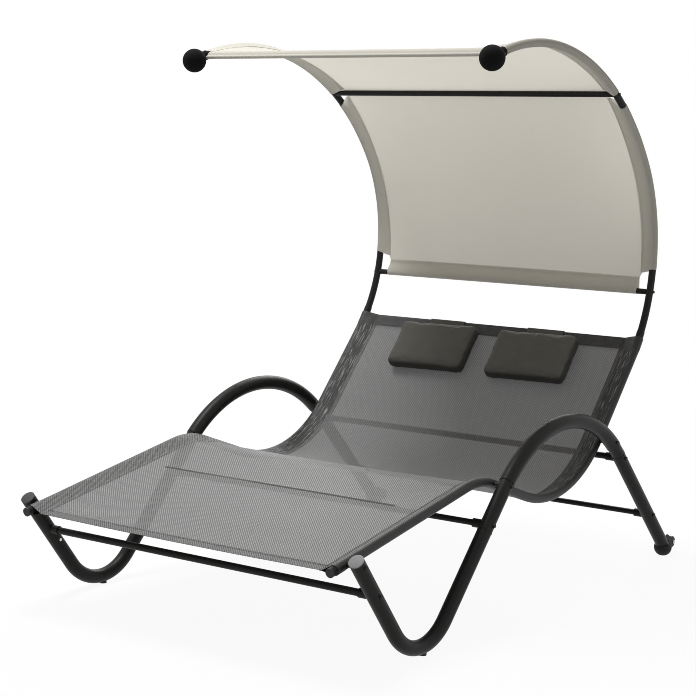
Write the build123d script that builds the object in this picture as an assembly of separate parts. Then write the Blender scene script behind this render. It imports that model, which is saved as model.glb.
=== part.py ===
from build123d import *
import math
import os

# Double chaise lounger: sun bed for two with a shade canopy.
# X runs across the bed, +Y towards the head end, Z up from the floor, all in millimetres.
# The origin is on the floor, midway between the rails' noses and the wheels' rims.

# Tube stock
leg_diameter = 46.0
arm_diameter = 50.0
leg_wall = 1.5
rail_diameter = 28.0
rail_wall = 1.2
pole_diameter = 25.2
pole_wall = 1.2
main_bar_diameter = 22.0
slim_bar_diameter = 19.0
bar_wall = 1.2
hood_bar_diameter = 20.0
hood_front_bar_diameter = 10.0
hood_front_bar_wall = 1.5

# Places across the bed: from its middle to the side frames' tubes, and from those to the rails
frame_half_width = 640.0
rail_from_frame = 50.0

# Clearances: between nested tubes, round bolts, beside cloth, on the wheel's axle, and cutter overrun
nest_gap = 0.2
bolt_gap = 0.25
cloth_gap = 0.4
seat_gap = 0.1
axle_gap = 0.05
overrun = 2.0

# Side frame, followed from the floor loop
loop_from_middle = 635.1
loop_radius = 172.0
front_leg_angle = 52.2
front_leg_straight = 314.0
riser_angle = 46.8
riser_straight = 461.0
upright_from_loop = 313.0
upright_bend = 3.4
arm_radius = 525.0
arm_end_angle = 40.5
rear_leg_angle = 45.9
rear_leg_straight = 540.0
socket_depth = 50.0

# Front floor studs under the loops
stud_radius = 12.0
stud_height = 4.0
stud_back = 10.0
stud_stem_radius = 4.0
stud_stem_length = 9.0

# Caps in the tops of the front legs and the noses of the rails
cap_thickness = 4.0
cap_crown = 2.0
cap_stem = 22.0
rail_cap_thickness = 4.0
rail_cap_stem = 16.0

# Rubber boots under the rear legs
boot_radius = 32.0
boot_centre_height = 29.0
boot_top = 38.0

# Wheels behind the boots
wheel_radius = 20.0
wheel_width = 18.0
wheel_hub_radius = 9.0
wheel_hub_proud = 0.6
wheel_groove = 1.5
wheel_standoff = 2.5
wheel_past_end = 41.0
axle_radius = 4.0
axle_head_radius = 6.5
axle_head_height = 2.5
cheek_thickness = 2.5
cheek_gap = 0.4
cheek_radius = 9.0
cheek_root = 14.0
web_length = 24.0

# Rails that carry the sling
top_bolt_from_end = 20.0
rail_overhang = 66.0
rail_front_angle = 10.5
rail_drop_angle = 19.5
rail_back_angle = 48.0
upright_bolt_angle = 2.1
arm_bolt_angle = 37.6
knee_radius = 300.0
seat_radius = 450.0
rail_seam_angle = 8.0
back_length = 350.6
rail_crown_angle = 11.0
spigot_length = 45.0

# Canopy poles: they go on along the rails' last bend, then open out
pole_radius_low = 558.0
pole_radius_high = 867.0
pole_low_angle = 66.0
pole_joint_angle = 17.0
pole_high_angle = 59.2
pole_socket = 70.0
knob_radius = 40.0
knob_neck_radius = 16.5
knob_neck_reach = 64.0

# Canopy bars, as angles of the pole's heading from level
low_bar_heading = 74.5
mid_bar_heading = 145.8
low_bar_shift = 3.0

# Crossbars and their collars on the side frames
collar_tube_diameter = 28.0
collar_reach = 27.0
bar_in_collar = 20.0
front_bar_from_loop = 172.0
mid_bar_from_seam = 22.0
rear_bar_from_arm = 20.0
low_rear_bar_from_end = 191.0
insert_length = 14.0

# Bolts
bolt_radius = 3.0
bolt_head_radius = 6.5
bolt_head_height = 4.0
rail_bolt_in_rail = 6.0
crossbar_bolt_length = 66.0
rivet_nut_radius = 4.5
rivet_nut_length = 10.0
spacer_radius = 8.0
hood_bolt_radius = 2.5
hood_bolt_head_radius = 5.0
hood_bolt_head_height = 3.0
hood_bolt_in_bar = 14.0
hood_plug_back = 3.0
leg_button_radius = 5.0
leg_button_height = 2.0
leg_button_below_bar = 50.0
leg_button_stem = 6.0

# Sling
sling_thickness = 2.0
sling_drop = 21.0
sling_edge_in = 11.0
sling_front_back = 16.0
sling_top_in = 24.0
spacer_slot = 1.2

# Canopy cloth
hood_thickness = 1.6
hood_sheet_out = 10.6
hood_edge_in = 9.0
hood_corner_heading = 83.0
hood_hem_in = 50.0
hood_notch_low_heading = 138.8
hood_notch_high_heading = 147.2
hood_hem_lap = 7.6
hood_front_back = 66.0
hood_front_radius = 22.0
hood_front_turn = 55.0
hood_front_in = 20.0
hood_front_lap = 6.2

# Pillows
pillow_width = 325.0
pillow_length = 190.0
pillow_thickness = 48.0
pillow_edge = 38.0
pillow_draw_in = 7.0
pillow_corner = 22.0
pillow_middle = 212.0
pillow_below_top = 40.0
pillow_rest_gap = 0.4
pillow_bow = 5.0
strap_width = 152.0
strap_thickness = 1.6
strap_end_gap = 0.6
strap_back = 70.0
strap_gap = 0.4

rail_half_width = frame_half_width - rail_from_frame
hood_hem_half_width = rail_half_width - hood_hem_in
hood_front_half_width = rail_half_width - hood_front_in
leg_radius = leg_diameter / 2
arm_tube_radius = arm_diameter / 2
rail_radius = rail_diameter / 2
pole_tube_radius = pole_diameter / 2
arm_bore = leg_radius + nest_gap
rail_bore = rail_radius - rail_wall
pole_bore = pole_tube_radius - pole_wall


def on_heading(point, heading, distance, left=0.0):
    # The point a distance along a heading in degrees, and off to its left
    a = math.radians(heading)
    return (
        point[0] + distance * math.cos(a) - left * math.sin(a),
        point[1] + distance * math.sin(a) + left * math.cos(a),
    )


def straight(length):
    return ("straight", length, 0.0)


def bend(radius, angle):
    return ("bend", radius, angle)


def after(start, heading, move):
    # Where a move ends, and the heading there; a positive bend turns upwards
    kind, size, angle = move
    if kind == "straight":
        return on_heading(start, heading, size), heading
    side = 1 if angle > 0 else -1
    centre = on_heading(start, heading, 0, side * size)
    turned = heading + angle
    return on_heading(centre, turned, 0, -side * size), turned


def walk(start, heading, moves):
    for move in moves:
        start, heading = after(start, heading, move)
    return start, heading


def crossing(p, p_heading, q, q_heading):
    # Where two lines in the YZ plane cross
    a, b = math.radians(p_heading), math.radians(q_heading)
    turn = math.sin(b - a)
    t = ((q[0] - p[0]) * math.sin(b) - (q[1] - p[1]) * math.cos(b)) / turn
    return on_heading(p, p_heading, t)


def apart(p, q):
    return math.hypot(q[0] - p[0], q[1] - p[1])


def cut_plane(point, heading):
    # A section plane square to a heading, its own X along the bed's X
    a = math.radians(heading)
    return Plane(
        origin=(0, point[0], point[1]), x_dir=(-1, 0, 0), z_dir=(0, math.cos(a), math.sin(a))
    )


def swept(start, heading, moves, section):
    # One solid made by carrying a flat section along straights and bends
    parts = []
    for move in moves:
        face = cut_plane(start, heading) * section
        kind, size, angle = move
        if kind == "straight":
            parts.append(extrude(face, amount=size))
        else:
            side = 1 if angle > 0 else -1
            centre = on_heading(start, heading, 0, side * size)
            axis = Axis((0, centre[0], centre[1]), (side, 0, 0))
            parts.append(revolve(face, axis=axis, revolution_arc=abs(angle)))
        start, heading = after(start, heading, move)
    body = parts[0]
    for part in parts[1:]:
        body = body + part
    return body


def tube(start, heading, moves, outer, inner):
    return swept(start, heading, moves, Circle(outer) - Circle(inner))


def rod(start, heading, moves, radius):
    return swept(start, heading, moves, Circle(radius))


def necked_tube(start, heading, neck_move, moves, outer, bore, wall):
    # A tube whose first length is necked down to enter the tube before it
    neck = bore - nest_gap
    joint, joint_heading = after(start, heading, neck_move)
    kind, size, angle = moves[0]
    ring_angle = abs(neck_move[2]) / 4 if angle > 0 else -abs(neck_move[2]) / 4
    ring_move = bend(size, ring_angle)
    ring_end, ring_heading = after(joint, joint_heading, ring_move)
    rest = [bend(size, angle - ring_angle)] + moves[1:]
    body = rod(start, heading, [neck_move] + moves, outer)
    body -= tube(start, heading, [neck_move], outer + overrun, neck)
    body -= rod(start, heading, [neck_move, ring_move], neck - wall)
    body -= rod(ring_end, ring_heading, rest, bore)
    return body


def cross_rod(point, radius, x_from, x_to):
    # A round bar along X through a point of the YZ plane
    plane = Plane(origin=(x_from, point[0], point[1]), x_dir=(0, 1, 0), z_dir=(1, 0, 0))
    return extrude(plane * Circle(radius), amount=x_to - x_from)


def cross_tube(point, outer, inner, x_from, x_to):
    plane = Plane(origin=(x_from, point[0], point[1]), x_dir=(0, 1, 0), z_dir=(1, 0, 0))
    return extrude(plane * (Circle(outer) - Circle(inner)), amount=x_to - x_from)


def at_x(shape, x):
    return Pos(x, 0, 0) * shape


def flipped(shape):
    return mirror(shape, about=Plane.YZ)


def largest(shape):
    # The main solid of a shape, without the plugs that a round hole can leave behind
    return max(shape.solids(), key=lambda solid: solid.volume)


def group(*shapes):
    # Separate solids kept together under one name
    return Compound(children=[solid for shape in shapes for solid in shape.solids()])


# Stations of the side frame, worked out from its sizes
loop_low = (-loop_from_middle, leg_radius + stud_height)
loop_centre = (loop_low[0], loop_low[1] + loop_radius)
loop_front = on_heading(loop_centre, -front_leg_angle, 0, -loop_radius)
leg_top = on_heading(loop_front, 180 - front_leg_angle, front_leg_straight)
riser_foot = on_heading(loop_centre, riser_angle, 0, -loop_radius)
seam_low = on_heading(riser_foot, riser_angle, upright_from_loop)
arm_foot = on_heading(riser_foot, riser_angle, riser_straight)
arm_centre = on_heading(arm_foot, riser_angle, 0, -arm_radius)
seam_high_heading = riser_angle - upright_bend
seam_high = on_heading(arm_centre, seam_high_heading, 0, arm_radius)
rear_bend_end = on_heading(arm_centre, -rear_leg_angle, 0, arm_radius)
leg_end = on_heading(rear_bend_end, -rear_leg_angle, rear_leg_straight)

# Bolts that hold the rails
rail_bolt_front = on_heading(leg_top, -front_leg_angle, top_bolt_from_end)
rail_bolt_mid = on_heading(arm_centre, riser_angle - upright_bolt_angle, 0, arm_radius)
rail_bolt_rear = on_heading(arm_centre, -arm_bolt_angle, 0, arm_radius)
rail_bolts = [rail_bolt_front, rail_bolt_mid, rail_bolt_rear]

# Rail route: three straight lines through the bolts, joined by bends
knee = crossing(rail_bolt_front, rail_front_angle, rail_bolt_mid, -rail_drop_angle)
seat = crossing(rail_bolt_mid, -rail_drop_angle, rail_bolt_rear, rail_back_angle)
nose = on_heading(rail_bolt_front, rail_front_angle, -rail_overhang)
knee_turn = rail_front_angle + rail_drop_angle
seat_turn = rail_drop_angle + rail_back_angle
knee_tangent = knee_radius * math.tan(math.radians(knee_turn / 2))
seat_tangent = seat_radius * math.tan(math.radians(seat_turn / 2))
back_end = on_heading(rail_bolt_rear, rail_back_angle, back_length)
front_run = apart(nose, knee) - knee_tangent
drop_run = apart(knee, seat) - knee_tangent - seat_tangent
back_run = apart(seat, back_end) - seat_tangent
seat_moves = [
    straight(front_run),
    bend(knee_radius, -knee_turn),
    straight(drop_run),
    bend(seat_radius, rail_drop_angle + rail_seam_angle),
]
back_moves = [
    bend(seat_radius, rail_back_angle - rail_seam_angle),
    straight(back_run),
    bend(pole_radius_low, rail_crown_angle),
]
rail_seam, rail_seam_heading = walk(nose, rail_front_angle, seat_moves)
rail_top, rail_top_heading = walk(rail_seam, rail_seam_heading, back_moves)

# Canopy pole route
pole_low_centre = on_heading(rail_top, rail_top_heading, 0, pole_radius_low)
pole_knee_heading = rail_top_heading + pole_low_angle
pole_knee = on_heading(pole_low_centre, pole_knee_heading, 0, -pole_radius_low)
pole_high_centre = on_heading(pole_knee, pole_knee_heading, 0, pole_radius_high)
pole_joint_heading = pole_knee_heading + pole_joint_angle
pole_joint = on_heading(pole_high_centre, pole_joint_heading, 0, -pole_radius_high)
knob_heading = pole_joint_heading + pole_high_angle
knob_centre = on_heading(pole_high_centre, knob_heading, 0, -pole_radius_high)


def on_pole(heading, out=0.0):
    # A point on the canopy pole where it has this heading, moved out from the shade's hollow
    if heading < pole_knee_heading:
        return on_heading(pole_low_centre, heading, 0, -pole_radius_low - out)
    return on_heading(pole_high_centre, heading, 0, -pole_radius_high - out)


low_bar = on_pole(low_bar_heading, low_bar_shift)
mid_bar = on_pole(mid_bar_heading)
hood_front_heading = knob_heading - math.degrees(hood_front_back / pole_radius_high)
hood_brow = on_pole(hood_front_heading, hood_sheet_out + hood_thickness / 2)
hood_lip, hood_lip_heading = walk(
    hood_brow, hood_front_heading, [bend(hood_front_radius, hood_front_turn)]
)
front_bar = on_heading(hood_lip, hood_lip_heading, hood_front_lap)

# Crossbars between the side frames
leg_bar = on_heading(loop_front, 180 - front_leg_angle, front_bar_from_loop)
upright_bar = on_heading(seam_low, riser_angle, mid_bar_from_seam)
rear_bar = on_heading(rear_bend_end, -rear_leg_angle, rear_bar_from_arm)
low_rear_bar = on_heading(leg_end, 180 - rear_leg_angle, low_rear_bar_from_end)
crossbars = {
    "front_crossbar": (leg_bar, main_bar_diameter / 2),
    "middle_crossbar": (upright_bar, slim_bar_diameter / 2),
    "rear_upper_crossbar": (rear_bar, main_bar_diameter / 2),
    "rear_lower_crossbar": (low_rear_bar, slim_bar_diameter / 2),
}

# Wheels
wheel_centre = on_heading(
    leg_end, -rear_leg_angle, wheel_past_end, leg_radius + wheel_standoff + wheel_radius
)
cheek_inner = wheel_width / 2 + wheel_hub_proud + cheek_gap
cheek_outer = cheek_inner + cheek_thickness

pieces = {}


def keep(name, shape):
    pieces[name] = shape


def keep_pair(name, shape):
    # A right-hand piece and its mirror image
    keep(name + "_right", shape)
    keep(name + "_left", flipped(shape))


def bolt_hole(point, radius=bolt_radius):
    reach = arm_diameter + collar_reach
    return cross_rod(point, radius + bolt_gap, frame_half_width - reach, frame_half_width + reach)


def welded_collar(point):
    # Short socket welded to the inside of a leg for a crossbar to slide into
    x_to = frame_half_width
    x_from = frame_half_width - leg_radius - collar_reach
    return cross_rod(point, collar_tube_diameter / 2, x_from, x_to)


def collar_bore(point, bar_radius):
    x_from = frame_half_width - leg_radius - collar_reach - overrun
    x_to = x_from + overrun + bar_in_collar
    return cross_rod(point, bar_radius + nest_gap, x_from, x_to)


def make_front_legs():
    moves = [
        straight(front_leg_straight),
        bend(loop_radius, front_leg_angle + riser_angle),
        straight(upright_from_loop),
    ]
    start = (leg_top, -front_leg_angle, moves)
    bore = leg_radius - leg_wall
    shell = at_x(tube(*start, leg_radius, bore), frame_half_width)
    hollow = at_x(rod(*start, bore), frame_half_width)
    collar = welded_collar(leg_bar) - hollow
    # Necked end that enters the upright
    neck = bore - nest_gap
    ring_at = on_heading(seam_low, riser_angle, -spigot_length / 4)
    ring = tube(ring_at, riser_angle, [straight(spigot_length / 4)], leg_radius, neck - leg_wall)
    spigot = tube(seam_low, riser_angle, [straight(spigot_length)], neck, neck - leg_wall)
    leg = shell + at_x(ring, frame_half_width) + at_x(spigot, frame_half_width) + collar
    leg -= collar_bore(leg_bar, main_bar_diameter / 2)
    for point in (leg_bar, rail_bolt_front, upright_bar):
        leg -= bolt_hole(point)
    stem_hole = stud_stem_radius + bolt_gap
    stud_at = (loop_low[0] + stud_back, frame_half_width)
    leg -= Pos(stud_at[1], stud_at[0], leg_radius / 2) * Cylinder(stem_hole, leg_diameter)
    button_at = on_heading(leg_bar, -front_leg_angle, leg_button_below_bar)
    x_from = frame_half_width - leg_radius - overrun
    leg -= cross_rod(button_at, bolt_radius + bolt_gap, x_from, frame_half_width)
    keep_pair("front_leg", largest(leg))


def make_uprights():
    bore = leg_radius - leg_wall
    moves = [
        straight(riser_straight - upright_from_loop),
        bend(arm_radius, -upright_bend - math.degrees(socket_depth / arm_radius)),
    ]
    shell = at_x(tube(seam_low, riser_angle, moves, leg_radius, bore), frame_half_width)
    hollow = at_x(rod(seam_low, riser_angle, moves, bore), frame_half_width)
    upright = shell + (welded_collar(upright_bar) - hollow)
    upright -= collar_bore(upright_bar, slim_bar_diameter / 2)
    for point in (upright_bar, rail_bolt_mid):
        upright -= bolt_hole(point)
    keep_pair("upright", largest(upright))


def make_armrests():
    moves = [bend(arm_radius, -(seam_high_heading + arm_end_angle))]
    arm = at_x(tube(seam_high, seam_high_heading, moves, arm_tube_radius, arm_bore), frame_half_width)
    arm -= bolt_hole(rail_bolt_rear)
    keep_pair("armrest", largest(arm))


def make_rear_legs():
    bore = leg_radius - leg_wall
    inside = math.degrees(socket_depth / arm_radius)
    start = on_heading(arm_centre, inside - arm_end_angle, 0, arm_radius)
    moves = [
        bend(arm_radius, arm_end_angle - rear_leg_angle - inside),
        straight(rear_leg_straight),
    ]
    shell = at_x(tube(start, inside - arm_end_angle, moves, leg_radius, bore), frame_half_width)
    hollow = at_x(rod(start, inside - arm_end_angle, moves, bore), frame_half_width)
    leg = shell
    for point, bar_radius in (crossbars["rear_upper_crossbar"], crossbars["rear_lower_crossbar"]):
        leg = leg + (welded_collar(point) - hollow)
        leg -= collar_bore(point, bar_radius)
        leg -= bolt_hole(point)
    leg -= bolt_hole(rail_bolt_rear)
    keep_pair("rear_leg", largest(leg))


def make_leg_caps():
    bore = leg_radius - leg_wall
    outward = 180 - front_leg_angle
    disc = rod(on_heading(leg_top, outward, seat_gap), outward, [straight(cap_thickness)], leg_radius)
    tip = on_heading(leg_top, outward, seat_gap + cap_thickness)
    sphere_radius = (leg_radius**2 + cap_crown**2) / (2 * cap_crown)
    centre = on_heading(tip, outward, cap_crown - sphere_radius)
    dome = Pos(0, centre[0], centre[1]) * Sphere(sphere_radius)
    dome &= rod(tip, outward, [straight(2 * cap_crown)], leg_radius)
    stem_end = on_heading(leg_top, outward, -cap_stem / 2)
    stem = rod(
        stem_end, outward, [straight(cap_stem / 2 + seat_gap + cap_thickness / 2)], bore - nest_gap
    )
    cap = at_x(disc + dome + stem, frame_half_width) - bolt_hole(rail_bolt_front)
    keep_pair("leg_cap", cap)


def make_floor_studs():
    y = loop_low[0] + stud_back
    body = Pos(frame_half_width, y, stud_height) * Cylinder(stud_radius, 2 * stud_height)
    moves = [bend(loop_radius, front_leg_angle + riser_angle)]
    inside = rod(loop_front, -front_leg_angle, moves, leg_radius + seat_gap)
    body -= at_x(inside, frame_half_width)
    stem_top = stud_height + stud_stem_length
    stem = Pos(frame_half_width, y, stem_top / 2) * Cylinder(stud_stem_radius, stem_top)
    keep_pair("floor_stud", body + stem)


def make_boots():
    centre = (leg_end[0], boot_centre_height)
    ball = Pos(frame_half_width, centre[0], centre[1]) * Sphere(boot_radius)
    slab_size = 4 * boot_radius
    slab = Pos(frame_half_width, centre[0], boot_top / 2) * Box(slab_size, slab_size, boot_top)
    start = on_heading(leg_end, -rear_leg_angle, -slab_size)
    moves = [straight(slab_size + seat_gap)]
    socket = at_x(rod(start, -rear_leg_angle, moves, leg_radius + nest_gap), frame_half_width)
    keep_pair("rear_boot", (ball & slab) - socket)


def make_wheel_brackets():
    # Two cheeks welded to the leg with a web between them; the wheel turns between the cheeks
    root = on_heading(leg_end, -rear_leg_angle, -cheek_root, leg_radius)
    plane = Plane(origin=(0, 0, 0), x_dir=(0, 1, 0), z_dir=(1, 0, 0))
    outline = make_hull(
        [
            *(Pos(*root) * Circle(cheek_root)).edges(),
            *(Pos(*wheel_centre) * Circle(cheek_radius)).edges(),
        ]
    )
    cheek = extrude(plane * outline, amount=cheek_thickness)
    bracket = None
    for x in (-cheek_outer, cheek_inner):
        piece = at_x(cheek, frame_half_width + x)
        bracket = piece if bracket is None else bracket + piece
    web_start = on_heading(leg_end, -rear_leg_angle, -web_length, leg_radius + cheek_thickness / 2)
    section = Rectangle(2 * cheek_outer, cheek_thickness + 2 * seat_gap)
    web = swept(web_start, -rear_leg_angle, [straight(web_length)], section)
    bracket = bracket + at_x(web, frame_half_width)
    long_start = on_heading(leg_end, -rear_leg_angle, -rear_leg_straight / 2)
    moves = [straight(rear_leg_straight)]
    leg = rod(long_start, -rear_leg_angle, moves, leg_radius + seat_gap)
    bracket -= at_x(leg, frame_half_width)
    boot = Pos(frame_half_width, leg_end[0], boot_centre_height) * Sphere(boot_radius + seat_gap)
    bracket -= boot
    reach = cheek_outer + overrun
    bracket -= cross_rod(
        wheel_centre, axle_radius + axle_gap, frame_half_width - reach, frame_half_width + reach
    )
    keep_pair("wheel_bracket", largest(bracket))


def make_wheels():
    # Tread with a hub that stands a little proud each side, and a groove round the middle
    half = wheel_width / 2
    edge = wheel_groove
    profile = Polyline(
        (0, -half - wheel_hub_proud),
        (wheel_hub_radius, -half - wheel_hub_proud),
        (wheel_hub_radius, -half),
        (wheel_radius - edge, -half),
        (wheel_radius, -half + edge),
        (wheel_radius, -edge),
        (wheel_radius - edge, 0),
        (wheel_radius, edge),
        (wheel_radius, half - edge),
        (wheel_radius - edge, half),
        (wheel_hub_radius, half),
        (wheel_hub_radius, half + wheel_hub_proud),
        (0, half + wheel_hub_proud),
        close=True,
    )
    disc = revolve(Plane.XZ * make_face(profile), axis=Axis.Z)
    disc -= Cylinder(axle_radius + axle_gap, 4 * wheel_width)
    disc = Rot(0, 90, 0) * disc
    wheel = Pos(frame_half_width, *wheel_centre) * disc
    keep_pair("wheel", wheel)


def make_axles():
    reach = cheek_outer + seat_gap
    shank = cross_rod(
        wheel_centre, axle_radius, frame_half_width - reach, frame_half_width + reach
    )
    axle = shank
    for x in (-reach - axle_head_height, reach):
        x_from = frame_half_width + x
        axle = axle + cross_rod(wheel_centre, axle_head_radius, x_from, x_from + axle_head_height)
    keep_pair("wheel_axle", axle)


def make_crossbars():
    for name, (point, radius) in crossbars.items():
        reach = frame_half_width - leg_radius - collar_reach + bar_in_collar - seat_gap
        keep(name, cross_tube(point, radius, radius - bar_wall, -reach, reach))


def make_crossbar_inserts():
    # Threaded plugs in the crossbars' ends
    shapes = []
    for point, radius in crossbars.values():
        x_to = frame_half_width - leg_radius - collar_reach + bar_in_collar - seat_gap
        plug = cross_tube(
            point, radius - bar_wall - seat_gap, bolt_radius + seat_gap, x_to - insert_length, x_to
        )
        shapes += [plug, flipped(plug)]
    keep("crossbar_inserts", group(*shapes))


def make_crossbar_bolts():
    shapes = []
    for point, radius in crossbars.values():
        head_from = frame_half_width + leg_radius + seat_gap
        bolt = cross_rod(point, bolt_radius, head_from - crossbar_bolt_length, head_from)
        bolt = bolt + cross_rod(point, bolt_head_radius, head_from, head_from + bolt_head_height)
        shapes += [bolt, flipped(bolt)]
    keep("crossbar_bolts", group(*shapes))


def rail_hole(point):
    # Hole in the rail's outer wall for a rivet nut
    x_from = rail_half_width + rail_radius - rivet_nut_length - overrun
    x_to = rail_half_width + rail_radius + overrun
    return cross_rod(point, rivet_nut_radius + seat_gap, x_from, x_to)


def make_rails():
    seat_rail = tube(nose, rail_front_angle, seat_moves, rail_radius, rail_bore)
    seat_rail = at_x(seat_rail, rail_half_width)
    for point in (rail_bolt_front, rail_bolt_mid):
        seat_rail -= rail_hole(point)
    keep_pair("seat_rail", largest(seat_rail))

    # The back rail's lower end is necked to enter the seat rail
    inside = math.degrees(spigot_length / seat_radius)
    bend_centre = on_heading(rail_seam, rail_seam_heading, 0, seat_radius)
    before = rail_seam_heading - inside
    start = on_heading(bend_centre, before, 0, -seat_radius)
    neck_move = bend(seat_radius, inside)
    back_rail = necked_tube(start, before, neck_move, back_moves, rail_radius, rail_bore, rail_wall)
    back_rail = at_x(back_rail, rail_half_width) - rail_hole(rail_bolt_rear)
    keep_pair("back_rail", largest(back_rail))


def make_rail_caps():
    outward = 180 + rail_front_angle
    disc = rod(nose, outward, [straight(rail_cap_thickness)], rail_radius)
    stem = rod(
        on_heading(nose, outward, -rail_cap_stem),
        outward,
        [straight(rail_cap_stem + rail_cap_thickness / 2)],
        rail_bore - nest_gap,
    )
    keep_pair("rail_cap", at_x(disc + stem, rail_half_width))


def make_rail_fixings():
    # Spacers between rail and frame, bolts through both and rivet nuts in the rail
    spacers, bolts, nuts = [], [], []
    routes = frame_solid()
    rail = rail_solid()
    for point in rail_bolts:
        outer = arm_tube_radius if point is rail_bolt_rear else leg_radius
        spacer = cross_tube(
            point, spacer_radius, bolt_radius + bolt_gap, rail_half_width, frame_half_width
        )
        spacer = spacer - routes - rail
        spacers.append(largest(spacer))
        x_in = rail_half_width + rail_radius - rail_bolt_in_rail
        x_head = frame_half_width + outer + seat_gap
        bolt = cross_rod(point, bolt_radius, x_in, x_head)
        bolts.append(bolt + cross_rod(point, bolt_head_radius, x_head, x_head + bolt_head_height))
        x_to = rail_half_width + rail_radius - rail_wall
        nuts.append(
            cross_tube(
                point, rivet_nut_radius, bolt_radius + seat_gap, x_to - rivet_nut_length, x_to
            )
        )
    for name, shapes in (("rail_spacers", spacers), ("rail_bolts", bolts), ("rail_nuts", nuts)):
        keep(name, group(*shapes, *[flipped(shape) for shape in shapes]))


def frame_solid():
    # The side frame's outer volume, a hair oversize, to shape what seats on it
    fine = leg_radius + seat_gap
    front = rod(leg_top, -front_leg_angle, [straight(front_leg_straight)], fine)
    low = rod(seam_low, riser_angle, [straight(riser_straight - upright_from_loop)], fine)
    bit = rod(arm_foot, riser_angle, [bend(arm_radius, -upright_bend)], fine)
    arm = rod(
        seam_high,
        seam_high_heading,
        [bend(arm_radius, -(seam_high_heading + arm_end_angle))],
        arm_tube_radius + seat_gap,
    )
    return at_x(front + low + bit + arm, frame_half_width)


def rail_solid():
    fine = rail_radius + seat_gap
    return at_x(rod(nose, rail_front_angle, seat_moves + back_moves, fine), rail_half_width)


def make_leg_buttons():
    # Snap studs on the inner faces of the front legs
    point = on_heading(leg_bar, -front_leg_angle, leg_button_below_bar)
    face = frame_half_width - leg_radius - seat_gap
    button = cross_rod(point, leg_button_radius, face - leg_button_height, face)
    button = button + cross_rod(point, bolt_radius, face, face + leg_button_stem)
    keep("leg_buttons", group(button, flipped(button)))


def make_poles():
    socket = math.degrees(pole_socket / pole_radius_low)
    start = on_heading(pole_low_centre, rail_top_heading - socket, 0, -pole_radius_low)
    post_moves = [
        bend(pole_radius_low, pole_low_angle + socket),
        bend(pole_radius_high, pole_joint_angle),
    ]
    post = tube(start, rail_top_heading - socket, post_moves, pole_tube_radius, pole_bore)
    post = at_x(post, rail_half_width) - hood_hole(low_bar)
    keep_pair("canopy_post", largest(post))

    inside = math.degrees(spigot_length / pole_radius_high)
    before = pole_joint_heading - inside
    start = on_heading(pole_high_centre, before, 0, -pole_radius_high)
    neck_move = bend(pole_radius_high, inside)
    moves = [bend(pole_radius_high, pole_high_angle)]
    bow = necked_tube(
        start, before, neck_move, moves, pole_tube_radius, pole_bore, pole_wall
    )
    bow = at_x(bow, rail_half_width) - hood_hole(mid_bar) - hood_hole(front_bar)
    keep_pair("canopy_bow", largest(bow))


def hood_hole(point):
    reach = pole_diameter
    x_from = rail_half_width - reach
    return cross_rod(point, hood_bolt_radius + bolt_gap, x_from, rail_half_width + reach)


def pole_solid():
    # The pole's outer volume, a hair oversize, to shape the bars' ends
    socket = math.degrees(pole_socket / pole_radius_low)
    start = on_heading(pole_low_centre, rail_top_heading - socket, 0, -pole_radius_low)
    moves = [
        bend(pole_radius_low, pole_low_angle + socket),
        bend(pole_radius_high, pole_joint_angle + pole_high_angle),
    ]
    fine = pole_tube_radius + seat_gap
    return at_x(rod(start, rail_top_heading - socket, moves, fine), rail_half_width)


def make_hood_bars():
    # Bars between the poles, their ends hollowed to sit against them or against the knobs' necks
    pole = pole_solid()
    neck = at_x(knob_neck(knob_neck_reach, knob_neck_radius + seat_gap), rail_half_width)
    bars = {
        "canopy_lower_bar": (low_bar, hood_bar_diameter / 2, bar_wall, pole),
        "canopy_middle_bar": (mid_bar, hood_bar_diameter / 2, bar_wall, pole),
        "canopy_front_bar": (front_bar, hood_front_bar_diameter / 2, hood_front_bar_wall, neck),
    }
    for name, (point, radius, wall, end) in bars.items():
        bar = cross_tube(point, radius, radius - wall, -rail_half_width, rail_half_width)
        keep(name, largest(bar - end - flipped(end)))


def make_hood_bolts():
    # Screws from outside through the poles into plugs in the bars
    bolts, plugs = [], []
    bore = hood_bar_diameter / 2 - bar_wall
    front_bore = hood_front_bar_diameter / 2 - hood_front_bar_wall
    ends = (
        (low_bar, bore, pole_tube_radius),
        (mid_bar, bore, pole_tube_radius),
        (front_bar, front_bore, knob_neck_radius),
    )
    for point, bar_bore, post in ends:
        x_head = rail_half_width + post + seat_gap
        x_tip = rail_half_width - post - hood_bolt_in_bar
        bolt = cross_rod(point, hood_bolt_radius, x_tip, x_head)
        head = cross_rod(point, hood_bolt_head_radius, x_head, x_head + hood_bolt_head_height)
        bolts.append(bolt + head)
        x_to = rail_half_width - post - hood_plug_back
        plugs.append(
            cross_tube(
                point, bar_bore - seat_gap, hood_bolt_radius + seat_gap, x_to - hood_bolt_in_bar, x_to
            )
        )
    keep("canopy_bolts", group(*bolts, *[flipped(b) for b in bolts]))
    keep("canopy_bar_plugs", group(*plugs, *[flipped(p) for p in plugs]))


def knob_neck(reach, radius, past=0.0):
    # The stretch of the pole's route that the knob's neck covers
    start_heading = knob_heading - math.degrees(reach / pole_radius_high)
    turn = math.degrees((reach + past) / pole_radius_high)
    return rod(on_pole(start_heading), start_heading, [bend(pole_radius_high, turn)], radius)


def make_knobs():
    ball = Pos(0, *knob_centre) * Sphere(knob_radius)
    knob = ball + knob_neck(knob_neck_reach, knob_neck_radius)
    knob -= knob_neck(knob_neck_reach + overrun, pole_tube_radius + nest_gap, seat_gap)
    knob = at_x(knob, rail_half_width) - hood_hole(front_bar)
    keep_pair("canopy_knob", largest(knob))


def sheet_section(half_width, low, high):
    # Flat strip across the bed, from low to high to the left of the route
    return Pos(0, (low + high) / 2) * Rectangle(2 * half_width, high - low)


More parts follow.
